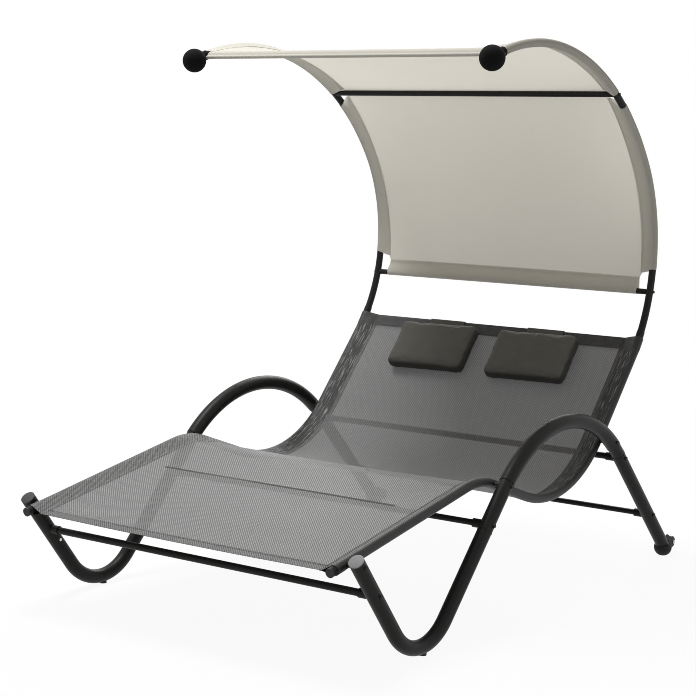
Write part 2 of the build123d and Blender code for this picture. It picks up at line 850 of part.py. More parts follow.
def sleeved_section(half_width, low, high, inner, wall):
    # The same strip with a round sleeve at each rail or pole
    section = sheet_section(half_width, low, high)
    for x in (-rail_half_width, rail_half_width):
        section = section + Pos(x, 0) * Circle(inner + wall) - Pos(x, 0) * Circle(inner)
    return section


def make_sling():
    # One sheet between the rails, with a sleeve round each rail
    start = on_heading(nose, rail_front_angle, sling_front_back)
    moves = [straight(front_run - sling_front_back)] + seat_moves[1:] + back_moves[:-1]
    top_angle = rail_crown_angle - math.degrees(sling_top_in / pole_radius_low)
    moves.append(bend(pole_radius_low, top_angle))
    inner = rail_radius + cloth_gap
    low = rail_radius - sling_drop
    high = low + sling_thickness
    half_width = rail_half_width - sling_edge_in
    section = sleeved_section(half_width, low, high, inner, sling_thickness)
    sling = swept(start, rail_front_angle, moves, section)
    for point in rail_bolts:
        slot = cross_rod(point, spacer_radius + spacer_slot, rail_half_width, frame_half_width)
        sling = sling - slot - flipped(slot)
    keep("sling", largest(sling))


def hood_moves(low_heading, high_heading):
    # Bends of the pole's route between two headings
    knee_heading = pole_knee_heading
    moves = []
    if low_heading < knee_heading:
        moves.append(bend(pole_radius_low, min(high_heading, knee_heading) - low_heading))
    if high_heading > knee_heading:
        moves.append(bend(pole_radius_high, high_heading - max(low_heading, knee_heading)))
    return moves


def make_hood():
    # Shade cloth over the poles: a sheet, sleeves on the poles and hems round the end bars
    out = hood_sheet_out
    inner = pole_tube_radius + cloth_gap
    low_heading = low_bar_heading + math.degrees(hood_hem_lap / pole_radius_low)
    half_width = rail_half_width - hood_edge_in
    sleeved = sleeved_section(half_width, -out - hood_thickness, -out, inner, hood_thickness)
    narrow = sheet_section(hood_hem_half_width, -out - hood_thickness, -out)
    lengths = (
        (low_heading, hood_corner_heading, narrow),
        (hood_corner_heading, hood_notch_low_heading, sleeved),
        (hood_notch_low_heading, hood_notch_high_heading, narrow),
        (hood_notch_high_heading, hood_front_heading, sleeved),
    )
    hood = None
    for low, high, section in lengths:
        length = swept(on_pole(low), low, hood_moves(low, high), section)
        hood = length if hood is None else hood + length
    lip_section = Rectangle(2 * hood_front_half_width, hood_thickness)
    lip_moves = [bend(hood_front_radius, hood_front_turn)]
    hood = hood + swept(hood_brow, hood_front_heading, lip_moves, lip_section)
    hems = (
        (low_bar, hood_bar_diameter / 2 + cloth_gap, hood_hem_half_width),
        (front_bar, hood_front_bar_diameter / 2 + cloth_gap, hood_front_half_width),
    )
    for point, hem_inner, half in hems:
        hood = hood + cross_tube(point, hem_inner + hood_thickness, hem_inner, -half, half)
    keep("canopy_cloth", largest(hood))


def sling_plane():
    # Plane of the sling's face at the pillows' top edge: X across, Y down the slope, Z off the face
    top_in = sling_top_in + pillow_below_top
    heading = rail_top_heading - math.degrees(top_in / pole_radius_low)
    point = on_heading(pole_low_centre, heading, 0, -pole_radius_low)
    face = rail_radius - sling_drop + sling_thickness
    origin = on_heading(point, heading, 0, face)
    a = math.radians(rail_back_angle)
    return Plane(
        origin=(0, origin[0], origin[1]),
        x_dir=(-1, 0, 0),
        z_dir=(0, -math.sin(a), math.cos(a)),
    )


def pillow_outline():
    # Rectangle with rounded corners and sides that draw in between them
    half = pillow_width / 2
    far = pillow_length
    c, d = pillow_corner, pillow_draw_in
    left = ThreePointArc((-half, c), (-half + d, far / 2), (-half, far - c))
    right = ThreePointArc((half, c), (half - d, far / 2), (half, far - c))
    top = ThreePointArc((-half + c, 0), (0, d / 2), (half - c, 0))
    foot = ThreePointArc((-half + c, far), (0, far - d / 2), (half - c, far))
    turn = c * (1 - math.sqrt(0.5))
    corners = [
        ThreePointArc((-half, c), (-half + turn, turn), (-half + c, 0)),
        ThreePointArc((half, c), (half - turn, turn), (half - c, 0)),
        ThreePointArc((-half, far - c), (-half + turn, far - turn), (-half + c, far)),
        ThreePointArc((half, far - c), (half - turn, far - turn), (half - c, far)),
    ]
    return make_face(Wire([left, right, top, foot, *corners]))


def crown_section(span, rise):
    # Flat-backed section whose front bows up in the middle, from edge height to full height
    half = span / 2
    bow = ThreePointArc((-half, pillow_edge), (0, rise), (half, pillow_edge))
    base = Polyline((half, pillow_edge), (half, 0), (-half, 0), (-half, pillow_edge))
    return make_face(Wire([bow, *base.edges()]))


def make_pillows():
    plane = sling_plane()
    body = extrude(pillow_outline(), amount=2 * pillow_thickness)
    wide = pillow_width + 2 * overrun
    across = extrude(
        Plane.XZ * crown_section(wide, pillow_thickness), amount=-2 * pillow_length, both=True
    )
    along_plane = Plane(origin=(0, pillow_length / 2, 0), x_dir=(0, 1, 0), z_dir=(1, 0, 0))
    along = extrude(
        along_plane * crown_section(pillow_length + 2 * overrun, pillow_thickness + pillow_bow),
        amount=pillow_width,
        both=True,
    )
    pillow = body & across & along
    pillow = largest(pillow)
    lifted = plane * Pos(0, 0, pillow_rest_gap) * pillow
    keep("pillow_right", Pos(pillow_middle, 0, 0) * lifted)
    keep("pillow_left", Pos(-pillow_middle, 0, 0) * lifted)


def make_straps():
    # Cloth flap from each pillow's top edge over the sling's top edge and down its back
    heading = rail_top_heading - math.degrees(sling_top_in / pole_radius_low)
    sheet_low = rail_radius - sling_drop
    front = sheet_low + sling_thickness + strap_gap
    back = sheet_low - strap_gap
    fold_radius = (front - back) / 2
    over = on_heading(on_pole(heading), heading, strap_gap, (front + back) / 2)
    a = math.radians(heading)
    side = Plane(
        origin=(-strap_width / 2, over[0], over[1]),
        x_dir=(0, math.cos(a), math.sin(a)),
        z_dir=(1, 0, 0),
    )
    ring = Circle(fold_radius + strap_thickness) - Circle(fold_radius)
    block_size = 4 * (fold_radius + strap_thickness)
    half_ring = ring & (Pos(block_size / 2, 0) * Rectangle(block_size, block_size))
    strap = extrude(side * half_ring, amount=strap_width)
    lengths = (
        (front, pillow_below_top - strap_end_gap),
        (back - strap_thickness, strap_back),
    )
    for low, length in lengths:
        angle = math.degrees(length / pole_radius_low)
        begin = heading - angle
        moves = [bend(pole_radius_low, angle), straight(strap_gap)]
        section = sheet_section(strap_width / 2, low, low + strap_thickness)
        strap = strap + swept(on_pole(begin), begin, moves, section)
    strap = largest(strap)
    keep("pillow_strap_right", Pos(pillow_middle, 0, 0) * strap)
    keep("pillow_strap_left", Pos(-pillow_middle, 0, 0) * strap)


def main():
    make_front_legs()
    make_uprights()
    make_armrests()
    make_rear_legs()
    make_leg_caps()
    make_floor_studs()
    make_boots()
    make_wheel_brackets()
    make_wheels()
    make_axles()
    make_crossbars()
    make_crossbar_inserts()
    make_crossbar_bolts()
    make_rails()
    make_rail_caps()
    make_rail_fixings()
    make_leg_buttons()
    make_poles()
    make_hood_bars()
    make_hood_bolts()
    make_knobs()
    make_sling()
    make_hood()
    make_pillows()
    make_straps()

    os.makedirs("parts", exist_ok=True)
    for name, shape in pieces.items():
        export_step(shape, f"parts/{name}.step")


main()
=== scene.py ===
import bpy
import bmesh
import math
from mathutils import Matrix, Vector, noise


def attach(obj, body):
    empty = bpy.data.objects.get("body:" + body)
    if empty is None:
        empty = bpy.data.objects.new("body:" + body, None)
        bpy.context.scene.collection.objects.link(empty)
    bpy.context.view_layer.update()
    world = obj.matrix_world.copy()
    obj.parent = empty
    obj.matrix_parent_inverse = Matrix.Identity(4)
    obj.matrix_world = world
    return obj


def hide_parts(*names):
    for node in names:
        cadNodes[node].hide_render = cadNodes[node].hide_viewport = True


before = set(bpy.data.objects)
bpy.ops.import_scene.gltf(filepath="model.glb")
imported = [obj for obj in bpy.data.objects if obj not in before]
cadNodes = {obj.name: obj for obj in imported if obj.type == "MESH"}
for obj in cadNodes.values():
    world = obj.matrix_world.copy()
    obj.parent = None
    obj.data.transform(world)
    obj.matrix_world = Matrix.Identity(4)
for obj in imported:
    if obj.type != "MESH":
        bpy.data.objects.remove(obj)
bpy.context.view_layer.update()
sides = {"left": -1, "right": 1}
print("frame loaded:", len(cadNodes), "nodes")


# Sockets as numbers: arithmetic on them adds Math nodes

def worked(operation, turned=False):
    def work(self, other):
        return self.tree.math(operation, *((other, self) if turned else (self, other)))
    return work


class Wire:
    __add__ = __radd__ = worked("ADD")
    __sub__, __rsub__ = worked("SUBTRACT"), worked("SUBTRACT", True)
    __mul__, __truediv__, __gt__ = worked("MULTIPLY"), worked("DIVIDE"), worked("GREATER_THAN")

    def __init__(self, tree, socket):
        self.tree, self.socket = tree, socket

    def __abs__(self):
        return self.tree.math("ABSOLUTE", self)


class NodeTree:
    def __init__(self, tree):
        self.tree = tree

    def join(self, value, socket):
        if isinstance(value, Wire):
            self.tree.links.new(value.socket, socket)
        else:
            socket.default_value = value

    def node(self, kind, sockets=None, output=0, **settings):
        made = self.tree.nodes.new(kind)
        for name, value in settings.items():
            if name == "stops":
                self.setStops(made.color_ramp, value)
            else:
                setattr(made, name, value)
        for name, value in (sockets or {}).items():
            self.join(value, made.inputs[name])
        return Wire(self, made.outputs[output]) if made.outputs else made

    def setStops(self, ramp, stops):
        while len(ramp.elements) < len(stops):
            ramp.elements.new(1.0)
        for element, (place, shade) in zip(ramp.elements, stops):
            element.position = place
            element.color = (shade, shade, shade, 1)

    def math(self, operation, *values):
        return self.node("ShaderNodeMath", dict(enumerate(values)), operation=operation)

    def blendColour(self, share, first, second):
        return self.node("ShaderNodeMix", {0: share, 6: first, 7: second}, 2, data_type="RGBA")


class Finish(NodeTree):
    def __init__(self, name):
        self.material = bpy.data.materials.new(name)
        self.material.use_nodes = True
        super().__init__(self.material.node_tree)
        self.tree.nodes.clear()
        self.place = self.node("ShaderNodeTexCoord", output="Object")

    def noise(self, scale, detail, vector=None, rough=.5):
        return self.node("ShaderNodeTexNoise", {
            "Vector": vector or self.place, "Scale": scale, "Detail": detail, "Roughness": rough})

    def cells(self, scale):
        return self.node("ShaderNodeTexVoronoi", {"Vector": self.place, "Scale": scale})

    def weave(self):  # the piece's own weave map, in metres across and along the cloth
        return self.node("ShaderNodeUVMap", uv_map="weave")

    def stretch(self, vector, scale):
        return self.node("ShaderNodeMapping", {"Vector": vector, "Scale": scale})

    def axes(self, vector):
        return [self.node("ShaderNodeSeparateXYZ", {0: vector}, output=axis) for axis in "XY"]

    def threads(self, vector, pitch):  # a plain weave of single threads, from -1 to 1
        across, along = (self.math("SINE", axis * (2 * math.pi / pitch)) for axis in self.axes(vector))
        return across * along

    def mark(self, name):  # a value that the mesh carries on its points
        return self.node("ShaderNodeAttribute", output="Fac", attribute_name=name)

    def ramp(self, value, *stops):
        return self.node("ShaderNodeValToRGB", {0: value}, stops=stops)

    def bump(self, height, depth, strength=1.0):
        return self.node("ShaderNodeBump", {"Height": height, "Distance": depth, "Strength": strength})

    def principled(self, **sockets):
        names = {name.replace("_", " "): value for name, value in sockets.items()}
        return self.node("ShaderNodeBsdfPrincipled", names)

    def showHard(self, look, colour, roughMore, height, metallic=0.0):
        return self.show(self.principled(
            Base_Color=colour, Roughness=look["rough"] + roughMore, Metallic=metallic,
            Specular_IOR_Level=look["gloss"], Normal=self.bump(height, look["relief"])))

    def show(self, shader):
        self.node("ShaderNodeOutputMaterial", {"Surface": shader})
        return self.material


def rgb(red, green, blue):
    return (red, green, blue, 1.0)


# Finishes of the hard pieces

frameCoatLook = {
    "dark": rgb(.0110, .0107, .0100), "pale": rgb(.0185, .0181, .0172), "rubbed": rgb(.036, .035, .034),
    "grain": 1500, "cloud": 9, "rub": 55, "rough": .33, "gloss": .10, "relief": .00006,
}


def frameCoat():
    finish, look = Finish("frameCoat"), frameCoatLook
    grain = finish.noise(look["grain"], 3)
    cloud = finish.noise(look["cloud"], 4)
    rub = finish.ramp(finish.noise(look["rub"], 6, rough=.65), (.57, 0), (.74, 1))  # handling marks
    colour = finish.blendColour(cloud, look["dark"], look["pale"])
    colour = finish.blendColour(rub * .2, colour, look["rubbed"])
    return finish.showHard(look, colour, cloud * .08 + grain * .06, grain)


blackPlasticLook = {
    "colour": rgb(.007, .007, .007), "worn": rgb(.018, .018, .018), "grain": 900, "cloud": 25,
    "rough": .42, "gloss": .3, "relief": .00008,
}


def blackPlastic():
    finish, look = Finish("blackPlastic"), blackPlasticLook
    cloud = finish.noise(look["cloud"], 5)
    colour = finish.blendColour(finish.ramp(cloud, (.45, 0), (.8, 1)), look["colour"], look["worn"])
    return finish.showHard(look, colour, cloud * .16, finish.cells(look["grain"]))


capLitShadedLook = {
    "left": (rgb(.012, .012, .012), rgb(.045, .045, .044)),
    "right": (rgb(.13, .13, .13), rgb(.25, .25, .248)),  # painted reflection: the right cap is painted paler than the left one for the light it catches, partly scuffs
    "cloud": 60, "grain": 1800, "rough": .5, "gloss": .5, "relief": .00004,
}


def capPlasticLitShaded(side):
    finish, look = Finish("capPlastic_" + side), capLitShadedLook
    cloud = finish.noise(look["cloud"], 5)
    # Lit and shaded copies of one plastic: the right cap's paler colours are painted reflection
    colour = finish.blendColour(cloud, *look[side])
    return finish.showHard(look, colour, cloud * .2, finish.noise(look["grain"], 2))


knobFoamLook = {
    "colour": rgb(.0022, .0022, .0022), "tips": rgb(.0085, .0085, .0085), "cells": 420, "soft": 900,
    "rough": .9, "gloss": .1, "relief": .0008,
}


def knobFoam():
    finish, look = Finish("knobFoam"), knobFoamLook
    soft = finish.noise(look["soft"], 4)
    colour = finish.blendColour(soft, look["colour"], look["tips"])
    return finish.showHard(look, colour, 0, finish.cells(look["cells"]) + soft * .6)


rubberLook = {
    "colour": rgb(.005, .005, .005), "dust": rgb(.03, .029, .027), "cloud": 70, "grain": 700,
    "rough": .62, "gloss": .25, "relief": .0001,
}


def rubber():
    finish, look = Finish("bootRubber"), rubberLook
    dust = finish.ramp(finish.noise(look["cloud"], 6, rough=.7), (.5, 0), (.72, 1))
    colour = finish.blendColour(dust * .5, look["colour"], look["dust"])
    return finish.showHard(look, colour, dust * .2, finish.noise(look["grain"], 3))


steelLook = {
    "darkBolt": {"colour": rgb(.0018, .0018, .0018), "metallic": 0.0, "rough": .5},
    "zincSteel": {"colour": rgb(.58, .58, .60), "metallic": 1.0, "rough": .28},
    "rubbed": rgb(.10, .10, .10), "scratch": 380, "gloss": .25, "relief": .00003,
}


def steel(name):
    finish, look = Finish(name), {**steelLook, **steelLook[name]}
    scratch = finish.noise(look["scratch"], 5, rough=.7)
    colour = finish.blendColour(scratch * .05, look["colour"], look["rubbed"])
    return finish.showHard(look, colour, scratch * .15, scratch, look["metallic"])


# Finishes of the cloths

meshLook = {
    "bundle": .0043, "strands": 3, "hole": .375, "open": .06, "even": .39, "softer": .66,
    "softPlaces": (.40, .52),  # along the bed, in units of two metres, since a ramp takes 0 to 1
    "yarn": (.56, .34, .12),  # painted sheen of a bundle on top: its ground, its strands' highlights and its uneven tone
    "glintDashes": (330, 17, 1), "dashPlaces": (.58, .64), "dashShare": .75, "rough": .55, "relief": .0005,
    "warpSheen": rgb(.375, .375, .371), "weftShade": rgb(.009, .009, .0088), "shadeTone": rgb(.009, .0089, .0087),
    "cloud": rgb(.08, .08, .08), "dashGlint": rgb(.30, .30, .295),
}


def slingMesh():
    finish, look = Finish("slingMesh"), meshLook
    weave = finish.weave()
    across, along = (axis / look["bundle"] for axis in finish.axes(weave))
    acrossCell, alongCell = finish.math("FLOOR", across), finish.math("FLOOR", along)
    # 1 where the across bundles lie on top; the far part of the bed shows its weave more softly
    check = finish.math("SINE", across * math.pi) * finish.math("SINE", along * math.pi)
    softFrom, softTo = look["softPlaces"]
    soft = finish.ramp(along * (look["bundle"] / 2), (softFrom, 0), (softTo, 1)) * look["softer"]
    over = finish.ramp(check * .5 + .5, (.25, 0), (.75, 1)) * (1 - soft) + soft * look["even"]
    acrossIn, alongIn = across - acrossCell, along - alongCell
    acrossOff, alongOff = abs(acrossIn - .5), abs(alongIn - .5)
    # Three strands side by side in each bundle, running the way that the bundle does
    acrossStrand = abs(finish.math("SINE", acrossIn * (math.pi * look["strands"])))
    alongStrand = abs(finish.math("SINE", alongIn * (math.pi * look["strands"])))
    strand = over * acrossStrand + (1 - over) * alongStrand
    arch = over * (1 - alongOff * alongOff * 3) + (1 - over) * (1 - acrossOff * acrossOff * 3)
    outside, doubled, rumpled = (finish.mark(name) for name in Cloth.marks)
    yarn = finish.node("ShaderNodeCombineXYZ", {
        "X": acrossCell, "Y": finish.math("FLOOR", alongCell / 3)})
    uneven = finish.node("ShaderNodeTexWhiteNoise", {"Vector": yarn}, noise_dimensions="2D")
    ground, strandShare, unevenShare = look["yarn"]
    # Painted sheen: bundles lying across catch the light, brightest on their crowns and strands and painted
    # darker at their sides; bundles lying along stay dark
    sheenAndTone = over * (ground + strand * strandShare + uneven * unevenShare) * arch
    colour = finish.blendColour(sheenAndTone, look["weftShade"], look["warpSheen"])
    colour = finish.blendColour(finish.noise(14, 4) * .10, colour, look["cloud"])
    # Painted shade where plies lie doubled, and over the back sleeves' rumples
    colour = finish.blendColour(doubled * .40 + rumpled * .42, colour, look["shadeTone"])
    # Painted glints: pale dashes along the back sleeves' rumples
    dashFrom, dashTo = look["dashPlaces"]
    glintDashes = finish.noise(1.0, 1, finish.stretch(weave, look["glintDashes"]))
    glintDashes = finish.ramp(glintDashes, (dashFrom, 0), (dashTo, 1))
    colour = finish.blendColour(glintDashes * rumpled * look["dashShare"], colour, look["dashGlint"])
    # Painted shade on the rail's outer side and along the foot's fold; the holes close there too
    colour = finish.blendColour(outside, colour, look["shadeTone"])
    hole = (acrossOff > look["hole"]) * (alongOff > look["hole"])
    blurred = soft * .8 + .4
    hole = hole * (1 - blurred) + blurred * look["open"]
    return finish.show(finish.principled(
        Base_Color=colour, Roughness=look["rough"] - strand * .12, Alpha=1 - hole * (1 - outside),
        Specular_IOR_Level=.3, Sheen_Weight=.08, Sheen_Roughness=.35,
        Normal=finish.bump(strand * arch, look["relief"], .5)))


hoodLook = {
    "thread": .0011, "slub": (40, 900, 1), "cloud": 3.2, "through": .25, "rough": .8, "relief": .00012,
    "cream": rgb(.69, .66, .585), "shade": rgb(.62, .595, .53),
    "marked": (  # mark, its share and its colour: doubled plies' painted shade, a painted highlight line, painted shade on the outer side
        ("doubled", .6, rgb(.60, .575, .505)), ("rumpled", .25, rgb(.88, .86, .80)),
        ("outside", .65, rgb(.36, .35, .30)),
    ),
}


def hoodCloth():
    finish, look = Finish("canopyCloth"), hoodLook
    weave = finish.weave()
    threads = finish.threads(weave, look["thread"])
    slub = finish.noise(1.0, 4, finish.stretch(weave, look["slub"]))
    cloud = finish.noise(look["cloud"], 4)
    colour = finish.blendColour(cloud * .5 + slub * .35 + threads * .06, look["shade"], look["cream"])
    for name, share, shade in look["marked"]:
        colour = finish.blendColour(finish.mark(name) * share, colour, shade)
    surface = finish.principled(
        Base_Color=colour, Roughness=look["rough"] + slub * .1, Specular_IOR_Level=.2,
        Normal=finish.bump(threads + slub * .7, look["relief"], .6))
    glow = finish.node("ShaderNodeBsdfTranslucent", {"Color": colour})
    return finish.show(finish.node("ShaderNodeMixShader", {0: look["through"], 1: surface, 2: glow}))


pillowLook = {
    "thread": .0016, "turn": 48, "cloud": 18, "fleck": 700, "rough": .68, "relief": .00022,
    # side is the painted shade of the band round the pillow's sides
    "olive": rgb(.122, .117, .103), "dark": rgb(.082, .079, .070), "side": rgb(.020, .019, .016),
}


def pillowCloth():
    finish, look = Finish("pillowCloth"), pillowLook
    turned = finish.node("ShaderNodeMapping", {
        "Vector": finish.place, "Rotation": (math.radians(look["turn"]), 0, 0)})
    threads = finish.threads(turned, look["thread"])
    cloud = finish.noise(look["cloud"], 5)
    fleck = finish.noise(look["fleck"], 3)
    colour = finish.blendColour(cloud * .7 + threads * .12 + fleck * .25, look["dark"], look["olive"])
    # Painted shade: the band round the pillow's sides is painted dark
    colour = finish.blendColour(finish.mark("edge") * .8, colour, look["side"])
    return finish.show(finish.principled(
        Base_Color=colour, Roughness=look["rough"] + fleck * .14, Specular_IOR_Level=.25,
        Sheen_Weight=.08, Sheen_Roughness=.4, Normal=finish.bump(threads + fleck * .5, look["relief"], .7)))


threadLook = {
    "darkThread": rgb(.012, .012, .013), "paleThread": rgb(.60, .575, .51), "worn": rgb(.3, .3, .29),
}


def threadFinish(name):
    finish = Finish(name)
    colour = finish.blendColour(finish.noise(1400, 2) * .4, threadLook[name], threadLook["worn"])
    return finish.show(finish.principled(Base_Color=colour, Roughness=.6))


# The rails' and poles' centreline, side on: from the rail's nose up the bed and over the canopy

routeShape = {
    "nose": (-1.0161, .31386), "heading": 10.5,
    "moves": (("run", .69835), ("bend", .3, -30), ("run", .21658), ("bend", .45, 67.5),
              ("run", .34273), ("bend", .558, 11), ("bend", .558, 66), ("bend", .867, 76.2)),
}


def unit(a):
    return Vector((math.cos(a), math.sin(a)))


class Route:
    def __init__(self, shape):
        self.pieces = []
        point, heading, gone = Vector(shape["nose"]), shape["heading"], 0.0
        for move in shape["moves"]:
            radius, turn = (move[1], move[2]) if move[0] == "bend" else (None, 0.0)
            length = abs(math.radians(turn)) * radius if radius else move[1]
            self.pieces.append((gone, length, point, heading, radius, turn))
            point, heading = self.along(self.pieces[-1], length)
            gone += length
        self.length = gone

    def along(self, piece, distance):
        gone, length, point, heading, radius, turn = piece
        if radius is None:
            return point + distance * unit(math.radians(heading)), heading
        side = math.copysign(1, turn)
        turned = heading + turn * distance / length
        return point + side * radius * (self.left(heading) - self.left(turned)), turned

    def left(self, heading):
        a = math.radians(heading)
        return Vector((-math.sin(a), math.cos(a)))

    def at(self, distance):
        piece = self.pieces[0]
        for candidate in self.pieces:
            if distance >= candidate[0]:
                piece = candidate
        return self.along(piece, distance - piece[0])

    def spot(self, distance, x, off):  # off is to the left of the way up: the lying side, or under the shade
        point, heading = self.at(distance)
        place = point + off * self.left(heading)
        return Vector((x, place.x, place.y))

    def distanceAt(self, heading):  # on the poles, where the heading only grows
        low, high = self.pieces[6], self.pieces[7]
        if heading <= high[3]:
            return low[0] + math.radians(heading - low[3]) * low[4]
        return high[0] + math.radians(heading - high[3]) * high[4]


route = Route(routeShape)
railHalf = .59
railTop = route.pieces[6][0]
print("route: rails to", round(railTop, 4), "m, knobs at", round(route.length, 4), "m")


# Meshes from rows of points

def linked(name, data):
    piece = bpy.data.objects.new(name, data)
    bpy.context.scene.collection.objects.link(piece)
    return piece


def newPiece(name, points, faces, material, weave=None):
    mesh = bpy.data.meshes.new(name)
    mesh.from_pydata(points, [], faces)
    mesh.materials.append(material)
    if weave:
        layer = mesh.uv_layers.new(name="weave")
        for loop in mesh.loops:
            layer.data[loop.index].uv = weave[loop.vertex_index]
    mesh.shade_smooth()
    return linked(name, mesh)


class Cloth:
    # Marks that paint light onto the cloth: painted shade, the painted shade of doubled plies, and painted
    # glints with shade
    marks = ("outside", "doubled", "rumpled")

    def __init__(self):
        self.points, self.weave, self.faces, self.marked = [], [], [], []

    def addGrid(self, rows, skip=None, flip=False):
        # Each row holds (point, (across, along)), or those and the three marks; all rows are as long
        first, wide = len(self.points), len(rows[0])
        for row in rows:
            for point, weave, *marks in row:
                self.points.append(point)
                self.weave.append(weave)
                self.marked.append(marks or (0, 0, 0))
        for r in range(len(rows) - 1):
            for c in range(wide - 1):
                if skip and skip(r, c):
                    continue
                a = first + r * wide + c
                quad = (a, a + 1, a + wide + 1, a + wide)
                self.faces.append(quad[::-1] if flip else quad)

    def finish(self, name, material, thickness=0):
        piece = newPiece(name, self.points, self.faces, material, self.weave)
        for k, mark in enumerate(self.marks):
            attribute = piece.data.attributes.new(mark, "FLOAT", "POINT")
            attribute.data.foreach_set("value", [marks[k] for marks in self.marked])
        if thickness:
            solid = piece.modifiers.new("thickness", "SOLIDIFY")
            solid.thickness, solid.offset = thickness, 0
        return piece


coat, plastic, foam, boot = frameCoat(), blackPlastic(), knobFoam(), rubber()
boltFinish, zinc = steel("darkBolt"), steel("zincSteel")
meshCloth, hoodFabric, pillowFabric = slingMesh(), hoodCloth(), pillowCloth()
darkThread, paleThread = threadFinish("darkThread"), threadFinish("paleThread")
finishOfNode = {
    "leg_cap_left": capPlasticLitShaded("left"), "leg_cap_right": capPlasticLitShaded("right"),
    "canopy_knob": foam, "rear_boot": boot,
    **dict.fromkeys(("rail_cap", "floor_stud", "wheel", "rail_spacers"), plastic),
    **dict.fromkeys(("crossbar_bolts", "rail_bolts", "canopy_bolts"), boltFinish),
    **dict.fromkeys(("wheel_axle", "crossbar_inserts", "rail_nuts", "canopy_bar_plugs", "leg_buttons"), zinc),
}
for name, node in cadNodes.items():
    plainName = name.removesuffix("_left").removesuffix("_right")
    node.data.materials.clear()
    node.data.materials.append(finishOfNode.get(name) or finishOfNode.get(plainName, coat))
print("finishes made:", len(bpy.data.materials))


# Sections and rows

def sleeveSection(cut, radius, stitchIn, level, ply):
    # From the stitch line out over the tube, round it and back under; the tube's centre is (0, 0)
    slope = cut["slopeSteps"]
    aim = math.atan2(level, -stitchIn)
    opening = math.acos(radius / math.hypot(stitchIn, level))
    first, last = (aim - opening) % (2 * math.pi), aim + opening
    last -= 2 * math.pi * round((last - first + math.pi) / (2 * math.pi))
    start, back = Vector((-stitchIn, level)), Vector((-stitchIn, level - ply))
    ring = [unit(a) * radius for a in spread(first, last, cut["ringSteps"])]
    section = [start.lerp(ring[0], k / slope) for k in range(slope)] + ring
    section += [ring[-1].lerp(back, k / slope) for k in range(1, slope + 1)]
    section.append(back + Vector((-cut["flap"], -.0002)))
    return section


def smooth(value, low, high):
    t = min(1, max(0, (value - low) / (high - low)))
    return t * t * (3 - 2 * t)


def spread(first, last, count):
    return [first + (last - first) * k / count for k in range(count + 1)]


def runs(points):  # how far along the line each of its points lies
    lengths = [0.0]
    for before, here in zip(points, points[1:]):
        lengths.append(lengths[-1] + (here - before).length)
    return lengths


# Sling: one ribbon over both rails, hemmed at the foot and at the top

slingCut = {
    "start": .0168, "end": railTop - .0248, "level": -.0062, "radius": .0151, "ply": .00125,
    "stitchFoot": .043, "stitchTop": .057, "stitchPlaces": (.7, 1.25), "flap": .009, "sleeveFlat": .188,
    "hemFoot": .036, "hemTop": .045, "hemFade": .016, "foldRadius": .0007, "ringSteps": 14, "slopeSteps": 6,
    "panelColumns": 22, "step": .009, "crossbarShadowLine": .504, "backPlaces": (1.12, 1.32),
    "loosePlaces": (1.1, 1.5), "boltAt": (.066, .8598, 1.6178), "slit": .0105, "sagHalf": .54,
    "sags": ((.78, -.0075, .11), (1.22, .005, .22), (.0168, -.004, .16)),  # place, depth and reach
    "ripple": .0007, "pleat": .0016,
}


def slingStitchIn(s):
    cut = slingCut
    return cut["stitchFoot"] + (cut["stitchTop"] - cut["stitchFoot"]) * smooth(s, *cut["stitchPlaces"])


def slingHem(s):
    cut = slingCut
    foot = 1 - smooth(s - cut["start"], cut["hemFoot"], cut["hemFoot"] + cut["hemFade"])
    top = smooth(s, cut["end"] - cut["hemTop"] - cut["hemFade"], cut["end"] - cut["hemTop"])
    return foot + top


def slingSag(x, s):
    share = max(0, 1 - (x / slingCut["sagHalf"]) ** 2)
    sag = sum(depth * math.exp(-((s - place) / reach) ** 2) for place, depth, reach in slingCut["sags"])
    ripple = slingCut["ripple"] * noise.noise(Vector((x * 5, s * 9, 2.7)))
    return share * sag + ripple


def slingRow(s, ply, ringGrow):
    cut = slingCut
    stitchIn, back = slingStitchIn(s), smooth(s, *cut["backPlaces"])
    hem = slingHem(s)
    inHem = hem * (.25 + back * 1.7)
    half = []  # (x, off, marks) from the middle out
    for k in range(cut["panelColumns"]):
        x = (railHalf - stitchIn) * (1 - (1 - k / cut["panelColumns"]) ** 1.15)
        half.append((x, cut["level"] + slingSag(x, s) + ply, (0, inHem, 0)))
    section = sleeveSection(cut, cut["radius"] + ringGrow, stitchIn, cut["level"] + ply, cut["ply"] * .8)
    for k, point in enumerate(section):  # k is 0 at the stitches, 6 on the rail's top and 9 beyond its side
        loose = smooth(k, 0, 2) * (1 - smooth(k, 6, 9)) * smooth(s, *cut["loosePlaces"]) * (ply == 0)
        pleat = cut["pleat"] * noise.noise(Vector((point.x * 90, s * 22, 7.1))) * loose
        # Painted shade over the rail's outer side
        side, strip = smooth(k, 7.5, 9.5), smooth(k, 0, 1) * (1 - smooth(k, 7, 10))
        # Doubled plies and hems painted darker, more so at the back; the back sleeves get painted shade and
        # glints
        marks = (side, max(strip * (.5 + .7 * back), inHem), strip * back * (1 - hem))
        half.append((railHalf + point.x, point.y + pleat, marks))
    lengths = runs([Vector(entry[:2]) for entry in half])
    row = [(x, off, run, marks) for (x, off, marks), run in zip(half, lengths)]
    both = [(-x, off, -run, marks) for x, off, run, marks in reversed(row[1:])] + row
    return [(route.spot(s, x, off), (run, s + ply), *marks) for x, off, run, marks in both]


